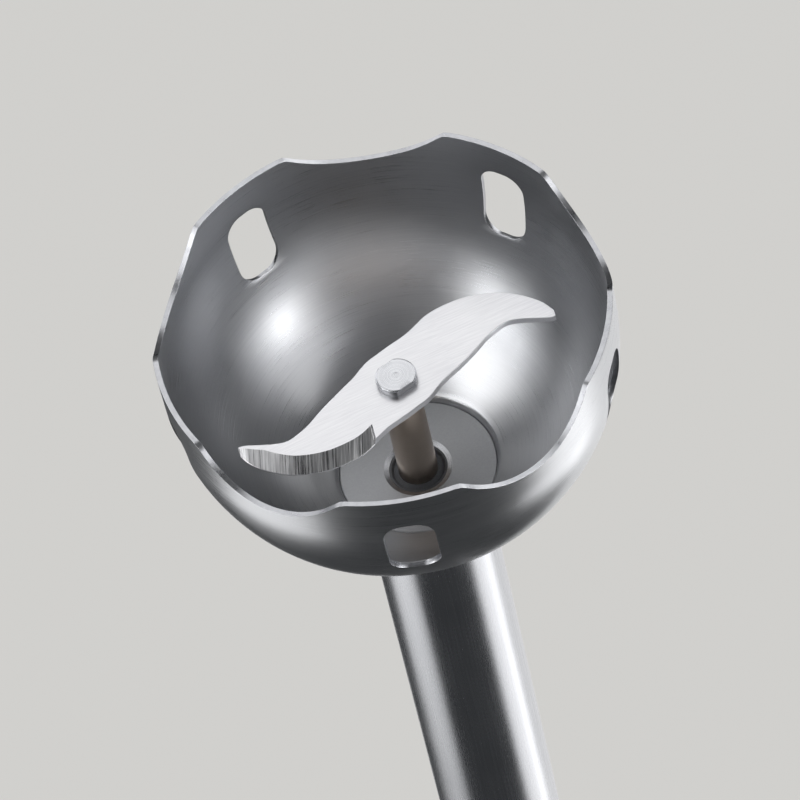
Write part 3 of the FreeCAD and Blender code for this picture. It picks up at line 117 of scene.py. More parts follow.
# One wing of the blade, as (along, across) from the shaft: the convex cutting edge from the hub to the
# tip, then the hollow back edge from the tip to the hub. The other wing is the same, half a turn on.
WING_CUTTING_EDGE = [
    (0.7, 6.2), (2.5, 6.6), (4.3, 7.0), (6.2, 7.8), (8.2, 8.8), (10.0, 9.2), (12.5, 9.3),
    (15.0, 9.1), (17.7, 8.3), (20.3, 7.1), (22.6, 5.1), (24.6, 2.7), (25.4, 0.5)]
WING_BACK_EDGE = [
    (25.2, -0.6), (24.4, -0.6), (22.4, 0.45), (20.0, 1.6), (18.3, 2.05), (16.6, 1.6), (14.6, 0.9),
    (12.6, -0.3), (10.6, -1.3), (8.6, -2.2), (6.7, -3.0), (5.2, -3.7), (4.0, -4.5), (2.6, -5.3), (1.0, -5.7)]


def linear(code):
    """A scene-linear colour from an sRGB hex code."""
    channels = [int(code[i:i + 2], 16) / 255 for i in (0, 2, 4)]
    return [c / 12.92 if c <= 0.04045 else ((c + 0.055) / 1.055) ** 2.4 for c in channels]


def length(name, description, millimetres):
    """A size that the panel shows, given in millimetres and kept in metres."""
    return FloatProperty(name=name, description=description, default=millimetres * MM,
                         unit="LENGTH", subtype="DISTANCE", precision=5)


def angle(name, description, degrees):
    return FloatProperty(name=name, description=description, default=math.radians(degrees),
                         unit="ROTATION", subtype="ANGLE")


def colour(name, description, code):
    return FloatVectorProperty(name=name, description=description, default=linear(code),
                               subtype="COLOR", size=3, min=0, max=1)


class ImmersionBlenderSizes(bpy.types.PropertyGroup):
    """Sizes of the pieces that are built here rather than in CAD."""
    wall: length("Bell wall", "Thickness of the bell's steel sheet", 0.8)
    rim_rounding: length("Rim rounding", "Radius on the bell's rim and window edges", 0.37)
    centre_drop: length("Dome centre drop", "Depth of the dome's centre below the mouth", 7.6)
    lobes: IntProperty(name="Lobes", description="Lobes of the bell's mouth, with a window under each",
                       default=5, min=3, max=8)
    scallop_depth: length("Scallop depth", "Depth of each hollow in the bell's mouth", 5.4)
    scallop_chord: length("Scallop chord", "Width of each hollow in the bell's mouth", 23.8)
    land_rounding: length("Land rounding", "How far the corners beside each hollow are eased", 0.7)
    window_width: length("Window width", "Width of each window in the bell", 7.4)
    window_height: length("Window height", "Height of each window in the bell", 13.0)
    window_corner: length("Window corner", "Corner radius of each window", 3.0)
    window_drop: length("Window drop", "Depth of the windows' centres below the mouth", 12.4)
    blade_angle: angle("Blade angle", "Rest angle of the blade about the shaft", BLADE_REST_ANGLE)
    grind_run: length("Grind width", "Width of the ground bevel on each cutting edge", 2.8)
    grind_depth: length("Grind depth", "How much the grinding takes off the blade's edge", 0.85)
    nut_angle: angle("Nut angle", "Rest angle of the nut's flats about the shaft", 30.1)
    collar_bend: length("Collar bend", "Length of the collar's two round bends along its outline", 5.3)
    flutes: IntProperty(name="Dial flutes", description="Finger flutes round the speed dial",
                        default=30, min=12, max=60)


class ImmersionBlenderColours(bpy.types.PropertyGroup):
    """Colours of the stage; each finish keeps its own."""
    floor: colour("Floor", "Colour of the stage's floor", "DEDDDA")
    surround: colour("Surround", "Pale colour that the camera sees beyond the floor", "C4C3C1")


# ---------------------------------------------------------------- finishes

PLASTIC_IOR = 1.5


def add(tree, kind, links=None, **settings):
    """Adds one node with its settings; a link's value is a socket to join or a value to set."""
    made = tree.nodes.new(kind)
    for setting, value in settings.items():
        setattr(made, setting, value)
    for socket, value in (links or {}).items():
        if isinstance(value, bpy.types.NodeSocket):
            tree.links.new(value, made.inputs[socket])
        else:
            made.inputs[socket].default_value = value
    return made


def new_finish(name):
    """An empty node material with its shader, the shader's tree and the piece's own position."""
    material = bpy.data.materials.new(name)
    material.use_nodes = True
    tree = material.node_tree
    tree.nodes.clear()
    shader = add(tree, "ShaderNodeBsdfPrincipled")
    add(tree, "ShaderNodeOutputMaterial", {"Surface": shader.outputs["BSDF"]})
    place = add(tree, "ShaderNodeTexCoord").outputs["Object"]
    return material, tree, shader, place


def joined(tree, shader, looks, wear, wear_ends, speckle, height):
    """Joins a finish's patterns to its shader: wear to roughness, speckle to colour, height to relief."""
    tint, shade, roughness, spread, relief = looks
    rough = add(tree, "ShaderNodeMapRange",
                {"Value": wear, "From Min": wear_ends[0], "From Max": wear_ends[1],
                 "To Min": roughness - spread, "To Max": roughness + spread})
    fade = add(tree, "ShaderNodeMapRange", {"Value": speckle, "From Min": 0.35, "From Max": 0.65})
    tone = add(tree, "ShaderNodeMix", {"Factor": fade.outputs[0], "A": (*linear(shade), 1),
                                       "B": (*linear(tint), 1)}, data_type="RGBA")
    bump = add(tree, "ShaderNodeBump", {"Strength": 1.0, "Distance": relief * MM, "Height": height})
    for output, socket in ((tone.outputs["Result"], "Base Color"), (rough.outputs[0], "Roughness"),
                           (bump.outputs[0], "Normal")):
        tree.links.new(output, shader.inputs[socket])


def metal(name, tint, shade, roughness, spread, grain, relief, turn=0.0, around=False, anisotropy=0.0):
    """A bare metal whose scratches are drawn as noise stretched to the three lengths in grain, in mm.

    Turned, spun and ring-brushed metal has its scratches run round the axis: there the third length is
    measured along the piece's section, height plus radius. Roughness varies by spread either way.
    """
    material, tree, shader, place = new_finish(name)
    if turn:
        place = add(tree, "ShaderNodeMapping", {"Vector": place, "Rotation": (0, 0, -turn)}).outputs[0]
    axes = add(tree, "ShaderNodeSeparateXYZ", {0: place})
    along = axes.outputs["Z"]
    if around:
        flat = add(tree, "ShaderNodeVectorMath", {0: place, 1: (1, 1, 0)}, operation="MULTIPLY")
        radius = add(tree, "ShaderNodeVectorMath", {0: flat.outputs[0]}, operation="LENGTH")
        slant = add(tree, "ShaderNodeMath", {0: along, 1: radius.outputs["Value"]}, operation="ADD")
        along = slant.outputs[0]
        tangent = add(tree, "ShaderNodeTangent", direction_type="RADIAL", axis="Z")
        tree.links.new(tangent.outputs[0], shader.inputs["Tangent"])
    section = add(tree, "ShaderNodeCombineXYZ", {"X": axes.outputs["X"], "Y": axes.outputs["Y"], "Z": along})
    per_metre = [1 / (step * MM) for step in grain]
    stretched = add(tree, "ShaderNodeVectorMath", {0: section.outputs[0], 1: per_metre}, operation="MULTIPLY")
    scratches = add(tree, "ShaderNodeTexNoise",
                    {"Vector": stretched.outputs[0], "Scale": 1.0, "Detail": 4.0, "Roughness": 0.65})
    # handling leaves soft patches about a centimetre across
    patches = add(tree, "ShaderNodeTexNoise", {"Vector": place, "Scale": 1 / (11 * MM), "Detail": 2.0})
    worn = add(tree, "ShaderNodeMix", {"Factor": 0.3, 2: scratches.outputs[0], 3: patches.outputs[0]})
    joined(tree, shader, (tint, shade, roughness, spread, relief),
           wear=worn.outputs[0], wear_ends=(0.3, 0.7), speckle=worn.outputs[0], height=scratches.outputs[0])
    shader.inputs["Metallic"].default_value = 1.0
    shader.inputs["Anisotropic"].default_value = anisotropy
    return material


def moulded(name, tint, shade, roughness, spread, grain, relief, gloss=0.5, coat=0.0, sheen=0.0):
    """A moulded plastic or rubber: a mould texture of grain mm under soft clouds of wear."""
    material, tree, shader, place = new_finish(name)
    texture = add(tree, "ShaderNodeTexNoise",
                  {"Vector": place, "Scale": 1 / (grain * MM), "Detail": 3.0, "Roughness": 0.6})
    # the mould's pits are rounder and rarer than its grain
    pits = add(tree, "ShaderNodeTexVoronoi", {"Vector": place, "Scale": 0.6 / (grain * MM)},
               feature="SMOOTH_F1")
    height = add(tree, "ShaderNodeMix", {"Factor": 0.45, 2: texture.outputs[0], 3: pits.outputs["Distance"]})
    clouds = add(tree, "ShaderNodeTexNoise", {"Vector": place, "Scale": 1 / (14 * MM), "Detail": 3.0})
    speckle = add(tree, "ShaderNodeMix", {"Factor": 0.35, 2: clouds.outputs[0], 3: texture.outputs[0]})
    joined(tree, shader, (tint, shade, roughness, spread, relief),
           wear=clouds.outputs[0], wear_ends=(0.35, 0.65), speckle=speckle.outputs[0],
           height=height.outputs[0])
    shader.inputs["Specular IOR Level"].default_value = gloss
    shader.inputs["IOR"].default_value = PLASTIC_IOR
    shader.inputs["Coat Weight"].default_value = coat
    shader.inputs["Sheen Weight"].default_value = sheen
    return material


BLADE_TURN = math.radians(BLADE_REST_ANGLE)
GRINDING_TURN = math.radians(-5)
FINISHES = {
    # stainless sheet, spun and brushed in rings: broad soft lights crossed by hair-fine rings; the real
    # scratches are 0.03 mm apart and are drawn four times as coarse to show
    "ring_brushed_stainless": (metal, dict(
        tint="CFD0D2", shade="C2C3C6", roughness=0.30, spread=0.05, grain=(14, 14, 0.12), relief=0.0016,
        around=True, anisotropy=0.35)),
    # stainless tube, belt-ground along its length and buffed: two long clean lights with soft edges
    "buffed_stainless_tube": (metal, dict(
        tint="CBCCCF", shade="BEBFC3", roughness=0.27, spread=0.03, grain=(0.2, 0.2, 20), relief=0.0006)),
    # the sheet's cut edge, tumbled bright: a thin light line round the rim and the windows
    "tumbled_stainless_edge": (metal, dict(
        tint="B2B3B6", shade="9A9B9F", roughness=0.3, spread=0.06, grain=(1.5, 1.5, 1.5), relief=0.002)),
    # bead-blasted stainless floor: an even matt grey with a fine sparkle of quarter-millimetre dents
    "blasted_stainless": (metal, dict(
        tint="A9AAAC", shade="9C9DA0", roughness=0.52, spread=0.06, grain=(0.25, 0.25, 0.25), relief=0.006)),
    # blanked blade steel, satin along its length: pale and even, with faint long scratches
    "satin_blade_steel": (metal, dict(
        tint="D2D2D4", shade="BEBEC1", roughness=0.34, spread=0.05, grain=(5, 0.16, 0.16), relief=0.002,
        turn=BLADE_TURN)),
    # the ground bevel: coarse wheel marks straight across the edge, a third of a millimetre apart
    "wheel_ground_steel": (metal, dict(
        tint="EDEDEE", shade="77777A", roughness=0.32, spread=0.12, grain=(0.17, 9, 9), relief=0.014,
        turn=GRINDING_TURN)),
    # face-turned stainless: fine rings about the axis that spread the light in two arms
    "turned_stainless": (metal, dict(
        tint="CBCCCF", shade="A3A4A8", roughness=0.26, spread=0.08, grain=(900, 900, 0.16), relief=0.008,
        around=True, anisotropy=0.5)),
    # ground shaft running in bronze: a warm grey cast with faint rings
    "ground_shaft_steel": (metal, dict(
        tint="D8CABC", shade="CDBEAF", roughness=0.3, spread=0.03, grain=(30, 30, 0.15), relief=0.0003,
        around=True, anisotropy=0.3)),
    # zinc-plated screw steel: dull blue-grey with cloudy plating
    "zinc_plated_steel": (metal, dict(
        tint="A8ABAF", shade="8F9297", roughness=0.38, spread=0.08, grain=(0.6, 0.6, 0.6), relief=0.003)),
    # drawn spring wire: darker, with marks along the wire
    "drawn_spring_steel": (metal, dict(
        tint="8E9196", shade="767A80", roughness=0.34, spread=0.06, grain=(0.8, 0.8, 0.3), relief=0.002)),
    # sintered bronze: brown-gold and slightly porous
    "sintered_bronze": (metal, dict(
        tint="B98A55", shade="8F6638", roughness=0.45, spread=0.08, grain=(0.3, 0.3, 0.3), relief=0.008)),
    # enamelled copper winding: red-brown bands, one to each half-millimetre wire
    "enamelled_copper": (metal, dict(
        tint="B8673A", shade="7E3E1E", roughness=0.32, spread=0.06, grain=(9, 9, 0.5), relief=0.05)),
    # pressed brass: yellow, with rolling marks along the strip
    "pressed_brass": (metal, dict(
        tint="C9A961", shade="B18F48", roughness=0.33, spread=0.06, grain=(4, 0.3, 4), relief=0.002)),
    # stacked electrical steel: dark edges of half-millimetre sheets
    "stacked_laminations": (metal, dict(
        tint="6E6F73", shade="45464A", roughness=0.5, spread=0.08, grain=(25, 25, 0.5), relief=0.03)),
    # spark-textured black ABS: deep grey-black, matt, with a fine even pebble
    "spark_textured_abs": (moulded, dict(
        tint="222326", shade="1A1B1D", roughness=0.46, spread=0.04, grain=0.35, relief=0.018)),
    # soft-touch elastomer grip: blacker and softer than the ABS, with a faint bloom
    "soft_touch_elastomer": (moulded, dict(
        tint="1E1F21", shade="161718", roughness=0.66, spread=0.05, grain=0.5, relief=0.03, gloss=0.35,
        sheen=0.12)),
    # polished black ABS: clear dark reflections with a little orange peel
    "polished_black_abs": (moulded, dict(
        tint="101113", shade="0C0D0E", roughness=0.1, spread=0.03, grain=2.5, relief=0.006, coat=0.3)),
    # satin grey ABS buttons: light grey, fine-grained, rubbed smoother by fingers
    "satin_grey_abs": (moulded, dict(
        tint="9B9EA2", shade="8C8F93", roughness=0.4, spread=0.06, grain=0.3, relief=0.01)),
    # glass-filled nylon: dull grey with a swirl of fibres
    "glass_filled_nylon": (moulded, dict(
        tint="5A5B5E", shade="434447", roughness=0.55, spread=0.06, grain=0.8, relief=0.02)),
    # natural acetal: waxy white
    "natural_acetal": (moulded, dict(
        tint="E6E4DA", shade="D8D5C9", roughness=0.35, spread=0.05, grain=0.6, relief=0.01)),
    # food-grade lip seal: mid-grey rubber, dull
    "grey_lip_seal_rubber": (moulded, dict(
        tint="66676A", shade="4C4D50", roughness=0.55, spread=0.06, grain=0.3, relief=0.01, gloss=0.4)),
    # nitrile and silicone rubber: dead black with a slight bloom
    "black_seal_rubber": (moulded, dict(
        tint="2A2A2B", shade="1D1D1E", roughness=0.6, spread=0.06, grain=0.3, relief=0.01, gloss=0.4)),
    # pressed graphite: grey-black with a soft shine
    "pressed_graphite": (moulded, dict(
        tint="2C2D2F", shade="1E1F20", roughness=0.5, spread=0.08, grain=0.25, relief=0.01)),
    # glass-epoxy board under green solder mask: glossy over a faint weave
    "green_solder_mask": (moulded, dict(
        tint="1E6B41", shade="175533", roughness=0.28, spread=0.05, grain=0.5, relief=0.01, coat=0.2)),
    # epoxy-dipped film capacitor: yellow, glossy and slightly uneven
    "yellow_dipped_epoxy": (moulded, dict(
        tint="D9A431", shade="C08D22", roughness=0.25, spread=0.06, grain=1.5, relief=0.03, coat=0.2)),
}
FINISH_OF_SLOT = {
    "brushed_steel": "ring_brushed_stainless", "satin_steel": "satin_blade_steel",
    "carrier_steel": "blasted_stainless", "shaft_steel": "ground_shaft_steel",
    "turned_steel": "turned_stainless", "screw_steel": "zinc_plated_steel",
    "spring_steel": "drawn_spring_steel", "bronze_bush": "sintered_bronze",
    "copper": "enamelled_copper", "brass_holder": "pressed_brass", "laminations": "stacked_laminations",
    "carbon": "pressed_graphite", "seal_rubber": "black_seal_rubber", "grip_rubber": "soft_touch_elastomer",
    "black_plastic": "spark_textured_abs", "grey_plastic": "glass_filled_nylon",
    "gloss_black": "polished_black_abs", "button_grey": "satin_grey_abs", "white_nylon": "natural_acetal",
    "board_green": "green_solder_mask", "yellow_film": "yellow_dipped_epoxy",
}


def finish(name):
    """The material of that name, made the first time it is asked for."""
    if name not in bpy.data.materials:
        make, settings = FINISHES[name]
        make(name, **settings)
    return bpy.data.materials[name]


# ---------------------------------------------------------------- mesh tools

def ease(bm, size, crease=40.0, segments=2, chosen=None, material=-1):
    """Rounds every edge sharper than crease degrees, or those among them that chosen picks."""
    sharp = [edge for edge in bm.edges if len(edge.link_faces) == 2
             and edge.calc_face_angle(0) > math.radians(crease) and (chosen is None or chosen(edge))]
    bmesh.ops.bevel(bm, geom=sharp, offset=size * MM, offset_type="OFFSET", segments=segments,
                    profile=0.5, affect="EDGES", clamp_overlap=True, material=material)


def turned(points, bends=None, steps=STEPS, closed=True):
    """An outline of (radius, height) points in mm turned round the axis; bends are {point: length}."""
    bm = bmesh.new()
    verts = [bm.verts.new((0, -radius * MM, height * MM)) for radius, height in points]
    ends = verts[1:] + verts[:1] if closed else verts[1:]
    for pair in zip(verts, ends):
        bm.edges.new(pair)
    for corner, size in (bends or {}).items():
        bmesh.ops.bevel(bm, geom=[verts[corner]], offset=size * MM, offset_type="OFFSET",
                        segments=CORNER_SEGMENTS if size < LONG_BEND else BEND_SEGMENTS, profile=0.5,
                        affect="VERTICES", clamp_overlap=True, material=-1)
    bmesh.ops.spin(bm, geom=bm.verts[:] + bm.edges[:], cent=(0, 0, 0), axis=(0, 0, 1),
                   angle=FULL_TURN, steps=steps, use_merge=True)
    return bm


def merged(bm):
    """Closes the mesh's seams and poles and turns its faces outwards."""
    bmesh.ops.remove_doubles(bm, verts=bm.verts[:], dist=SEAM)
    bmesh.ops.recalc_face_normals(bm, faces=bm.faces[:])
    return bm


def swung(bm, verts, turn, axis="Z"):
    """Turns vertices by an angle about an axis through the origin."""
    bmesh.ops.rotate(bm, verts=verts, cent=(0, 0, 0), matrix=Matrix.Rotation(turn, 3, axis))


def laid_grid(bm, columns, rows, place):
    """A grid of quads whose vertices go where place(column, row) says, in mm."""
    for vert in bmesh.ops.create_grid(bm, x_segments=columns, y_segments=rows, size=0.5)["verts"]:
        column = round((vert.co.x + 0.5) * columns)
        row = round((vert.co.y + 0.5) * rows)
        vert.co = Vector(place(column, row)) * MM


def between(start, end, share):
    """The point at a share of the way from start to end."""
    return start[0] + (end[0] - start[0]) * share, start[1] + (end[1] - start[1]) * share


def resampled(points, count):
    """count + 1 points spread evenly along a line of points."""
    reach = [0.0]
    for start, end in zip(points, points[1:]):
        reach.append(reach[-1] + math.dist(start, end))
    spread = []
    piece = 0
    for number in range(count + 1):
        wanted = reach[-1] * number / count
        while piece < len(points) - 2 and reach[piece + 1] < wanted:
            piece += 1
        share = (wanted - reach[piece]) / max(reach[piece + 1] - reach[piece], 1e-9)
        spread.append(between(points[piece], points[piece + 1], share))
    return spread


def eased_line(points, rounds=3):
    """A line with its corners cut off again and again until it is smooth, its ends kept."""
    for _ in range(rounds):
        inner = []
        for start, end in zip(points, points[1:]):
            inner += [between(start, end, 0.25), between(start, end, 0.75)]
        points = [points[0], *inner[1:-1], points[-1]]
    return points


def rounded_loop(half_width, low, high, low_corner, high_corner, across, upward):
    """A rounded rectangle as a closed loop of points: across of them on each end, upward on each side.

    It starts in the middle of the lower left corner, and each side runs between two corners' middles.
    """
    corners = ((-1, low, low_corner, 180), (1, low, low_corner, 270),
               (1, high, high_corner, 0), (-1, high, high_corner, 90))
    arc_steps = 16
    middle = arc_steps // 2
    arcs = []
    for side, level, radius, start in corners:
        x = side * (half_width - radius)
        z = level + (radius if level == low else -radius)
        arc = [math.radians(start + 90 * step / arc_steps) for step in range(arc_steps + 1)]
        arcs.append([(x + radius * math.cos(a), z + radius * math.sin(a)) for a in arc])
    loop = []
    for number, count in enumerate((across, upward, across, upward)):
        line = arcs[number][middle:] + arcs[(number + 1) % 4][:middle + 1]
        loop += resampled(line, count)[:-1]
    return loop


def pierced_patch(bm, hole, edge, rows, place):
    """A patch of wall between a hole's loop and the patch's edge, point for point."""
    def spot(column, row):
        return place(*between(hole[column % len(hole)], edge[column % len(edge)], row / rows))
    laid_grid(bm, len(hole), rows, spot)


def finished(bm, name, nodes, finishes, crease=38.0):
    """Makes a mesh a piece: smooth up to its creases, on its CAD node's body and in its node's place."""
    for face in bm.faces:
        face.smooth = True
    for edge in bm.edges:
        edge.smooth = len(edge.link_faces) == 2 and edge.calc_face_angle(0) < math.radians(crease)
    mesh = bpy.data.meshes.new(name)
    bm.to_mesh(mesh)
    bm.free()
    for finish_name in finishes:
        mesh.materials.append(finish(finish_name))
    piece = bpy.data.objects.new(name, mesh)
    bpy.context.scene.collection.objects.link(piece)
    # the shading normals follow the large faces, so that flats stay flat beside their rounded edges
    even = piece.modifiers.new("even_shading", "WEIGHTED_NORMAL")
    even.keep_sharp = True
    shaded = piece.evaluated_get(bpy.context.evaluated_depsgraph_get())
    piece.data = bpy.data.meshes.new_from_object(shaded)
    piece.modifiers.clear()
    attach(piece, BODY_OF[nodes[0]])
    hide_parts(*nodes)
    return piece


def eased_copy(node, name, finish_name, size, crease=40.0, segments=2, detail=None):
    """A piece with the CAD node's shape, its sharp edges eased and the detail function's shapes added."""
    bm = bmesh.new()
    bm.from_mesh(frame["nodes"][node].data)
    bmesh.ops.remove_doubles(bm, verts=bm.verts[:], dist=SEAM)
    bmesh.ops.dissolve_limit(bm, angle_limit=math.radians(0.5), verts=bm.verts[:], edges=bm.edges[:])
    if size:
        ease(bm, size, crease, segments)
    bmesh.ops.triangulate(bm, faces=[face for face in bm.faces if len(face.verts) > 4])
    if detail:
        detail(bm)
    return finished(bm, name, [node], [finish_name])


# ---------------------------------------------------------------- pieces

class IMMERSION_OT_bell(bpy.types.Operator):
    """Builds the scalloped steel bell with a window under each lobe"""
    bl_idname = "immersion.bell"
    bl_label = "Bell"

    def execute(self, context):
        sizes = context.scene.immersion_sizes
        radius = BELL_RADIUS
        centre = MOUTH - sizes.centre_drop / MM
        wall = sizes.wall / MM
        half_sector = math.pi / sizes.lobes
        across = STEPS // sizes.lobes
        upward = 30
        rows = 10
        dome_steps = 24
        rim_crease = 60
        # the wall with the windows reaches this far down, and the dome below it is plain
        patch_low = MOUTH - 24.5

        def wall_radius(height):
            return radius if height > centre else math.sqrt(radius ** 2 - (centre - height) ** 2)

        depth = sizes.scallop_depth / MM
        half_chord = sizes.scallop_chord / MM / 2
        scallop = (half_chord ** 2 + depth ** 2) / (2 * depth)

        def mouth_height(turn):
            """The mouth's height at an angle from the lobe's middle, its corners eased."""
            off = radius * math.sin(half_sector - abs(turn))
            arc = MOUTH - depth + scallop - math.sqrt(max(scallop ** 2 - off ** 2, 0))
            easing = sizes.land_rounding / MM
            overlap = max(0.0, easing - abs(MOUTH - arc)) / easing
            return min(MOUTH, arc) - overlap ** 2 * easing / 4

        window_middle = MOUTH - sizes.window_drop / MM
        half_window = sizes.window_height / MM / 2
        hole = rounded_loop(sizes.window_width / MM / 2, window_middle - half_window,
                            window_middle + half_window, sizes.window_corner / MM,
                            sizes.window_corner / MM, across, upward)
        hole = [(math.asin(x / wall_radius(z)), z) for x, z in hole]
        notch = mouth_height(half_sector)
        edge = [(half_sector * (2 * step / across - 1), patch_low) for step in range(across)]
        edge += [(half_sector, patch_low + (notch - patch_low) * step / upward) for step in range(upward)]
        rim_turns = [half_sector * (1 - 2 * step / across) for step in range(across)]
        edge += [(turn, mouth_height(turn)) for turn in rim_turns]
        edge += [(-half_sector, notch - (notch - patch_low) * step / upward) for step in range(upward)]

        # the dome starts just above the matt floor, on a short upright neck
        neck = FLOOR + 0.1
        neck_radius = math.sqrt(radius ** 2 - (centre - neck) ** 2)
        low_turn = math.asin(neck_radius / radius)
        high_turn = math.acos((centre - patch_low) / radius)
        turns = [low_turn + (high_turn - low_turn) * step / dome_steps for step in range(dome_steps + 1)]
        dome = [(radius * math.sin(turn), centre - radius * math.cos(turn)) for turn in turns]
        foot = [(TUBE_HIGH.x, BELL_LOW.z), (neck_radius, BELL_LOW.z)]
        bm = turned(foot + dome, bends={1: 0.5, 2: 0.35}, closed=False)
        for lobe in range(sizes.lobes):
            lobe_turn = FULL_TURN * lobe / sizes.lobes - math.pi / 2

            def place(turn, height):
                flat = wall_radius(height)
                return flat * math.cos(lobe_turn + turn), flat * math.sin(lobe_turn + turn), height

            pierced_patch(bm, hole, edge, rows, place)
        merged(bm)
        bmesh.ops.solidify(bm, geom=bm.faces[:], thickness=wall * MM)
        for face in bm.faces:
            sharp = [edge for edge in face.edges if len(edge.link_faces) == 2
                     and edge.calc_face_angle(0) > math.radians(rim_crease)]
            face.material_index = 1 if len(sharp) >= 2 and face.calc_center_median().z > FLOOR * MM else 0
        ease(bm, sizes.rim_rounding / MM, crease=rim_crease, segments=3, material=1)
        finished(bm, "bell", ["bell_guard"], ["ring_brushed_stainless", "tumbled_stainless_edge"])
        return {"FINISHED"}


class IMMERSION_OT_leg_tube(bpy.types.Operator):
    """Builds the leg's steel tube"""
    bl_idname = "immersion.leg_tube"
    bl_label = "Leg tube"

    def execute(self, context):
        inner = TUBE_HIGH.x - context.scene.immersion_sizes.wall / MM
        bm = merged(turned([(inner, TUBE_LOW.z), (TUBE_HIGH.x, TUBE_LOW.z),
                            (TUBE_HIGH.x, TUBE_HIGH.z), (inner, TUBE_HIGH.z)], steps=SMALL_STEPS))
        finished(bm, "steel_tube", ["leg_tube"], ["buffed_stainless_tube"])
        return {"FINISHED"}


class IMMERSION_OT_bell_floor(bpy.types.Operator):
    """Builds the bell's matt floor with its turned seal seat, and the lip seal in it"""
    bl_idname = "immersion.bell_floor"
    bl_label = "Bell floor"

    def execute(self, context):
        hub_low = span("seal_carrier")[0].z
        plate = TUBE_HIGH.z
        hub = TUBE_HIGH.x - context.scene.immersion_sizes.wall / MM
        rim = span("seal_carrier")[1].x
        seal = SEAL_HIGH.x
        bush = span("foot_bush")
        seat = SEAL_LOW.z
        bore = 3.0
        ring = seal + 0.75
        ring_dip = 0.2
        bm = merged(turned([
            (bore, hub_low), (hub, hub_low), (hub, plate), (rim, plate), (rim, FLOOR), (ring, FLOOR),
            (seal + 0.12, FLOOR - ring_dip), (seal, FLOOR - 1.2 * ring_dip), (seal, seat),
            (bush[1].x, seat), (bush[1].x, bush[0].z), (bore, bush[0].z)],
            bends={4: 0.35}, steps=SMALL_STEPS * 2))
        for face in bm.faces:
            middle = face.calc_center_median() / MM
            face.material_index = 1 if middle.z > FLOOR - 2 * ring_dip and middle.xy.length < ring else 0
        finished(bm, "bell_floor", ["seal_carrier"], ["blasted_stainless", "turned_stainless"], crease=16)
        lip = SHAFT_RADIUS + 0.03
        top = SEAL_HIGH.z
        lip_width = 0.35
        valley, valley_depth = seal - 0.6, 0.5
        bm = merged(turned([
            (lip, seat), (seal, seat), (seal, top), (seal - lip_width, top), (valley, top - valley_depth),
            (lip + lip_width, top - valley_depth / 2), (lip, top - 0.1)],
            bends={2: 0.1, 3: 0.1, 5: 0.1}, steps=SMALL_STEPS))
        finished(bm, "lip_seal", ["shaft_seal"], ["grey_lip_seal_rubber"])
        return {"FINISHED"}


class IMMERSION_OT_spindle(bpy.types.Operator):
    """Builds the drive shaft and the nut that holds the blade on it"""
    bl_idname = "immersion.spindle"
    bl_label = "Shaft and nut"

    def execute(self, context):
        thin, groove, tenon = 2.5, 2.1, 2.0
        step = span("foot_bush")[1].z + 0.3
        groove_low, groove_high = [corner.z for corner in span("shaft_clip")]
        bm = merged(turned([
            (0, SHAFT_LOW.z), (thin, SHAFT_LOW.z), (thin, groove_low), (groove, groove_low),
            (groove, groove_high), (thin, groove_high), (thin, step), (SHAFT_RADIUS, step),
            (SHAFT_RADIUS, BLADE_LOW.z), (tenon, BLADE_LOW.z), (tenon, SHAFT_HIGH.z), (0, SHAFT_HIGH.z)],
            bends={1: 0.5, 7: 0.2, 8: 0.15, 10: 0.2}, steps=SMALL_STEPS, closed=False))
        finished(bm, "steel_shaft", ["drive_shaft"], ["ground_shaft_steel"])

        dimple, dimple_depth = 0.5, 0.12
        bm = merged(turned([
            (0, NUT_LOW.z), (NUT_RADIUS, NUT_LOW.z), (NUT_RADIUS, NUT_HIGH.z), (dimple, NUT_HIGH.z),
            (0, NUT_HIGH.z - dimple_depth)], bends={2: 0.28, 3: 0.1}, steps=SMALL_STEPS, closed=False))
        for side in (-1, 1):
            flat = Vector((0, side * NUT_FLAT * MM, 0))
            bmesh.ops.bisect_plane(bm, geom=bm.verts[:] + bm.edges[:] + bm.faces[:], dist=SEAM / 10,
                                   plane_co=flat, plane_no=flat.normalized(), clear_outer=True)
            bmesh.ops.holes_fill(bm, edges=[edge for edge in bm.edges if edge.is_boundary])
        ease(bm, 0.1, crease=50)
        swung(bm, bm.verts[:], context.scene.immersion_sizes.nut_angle)
        finished(bm, "round_nut", ["blade_nut"], ["turned_stainless"])
        return {"FINISHED"}


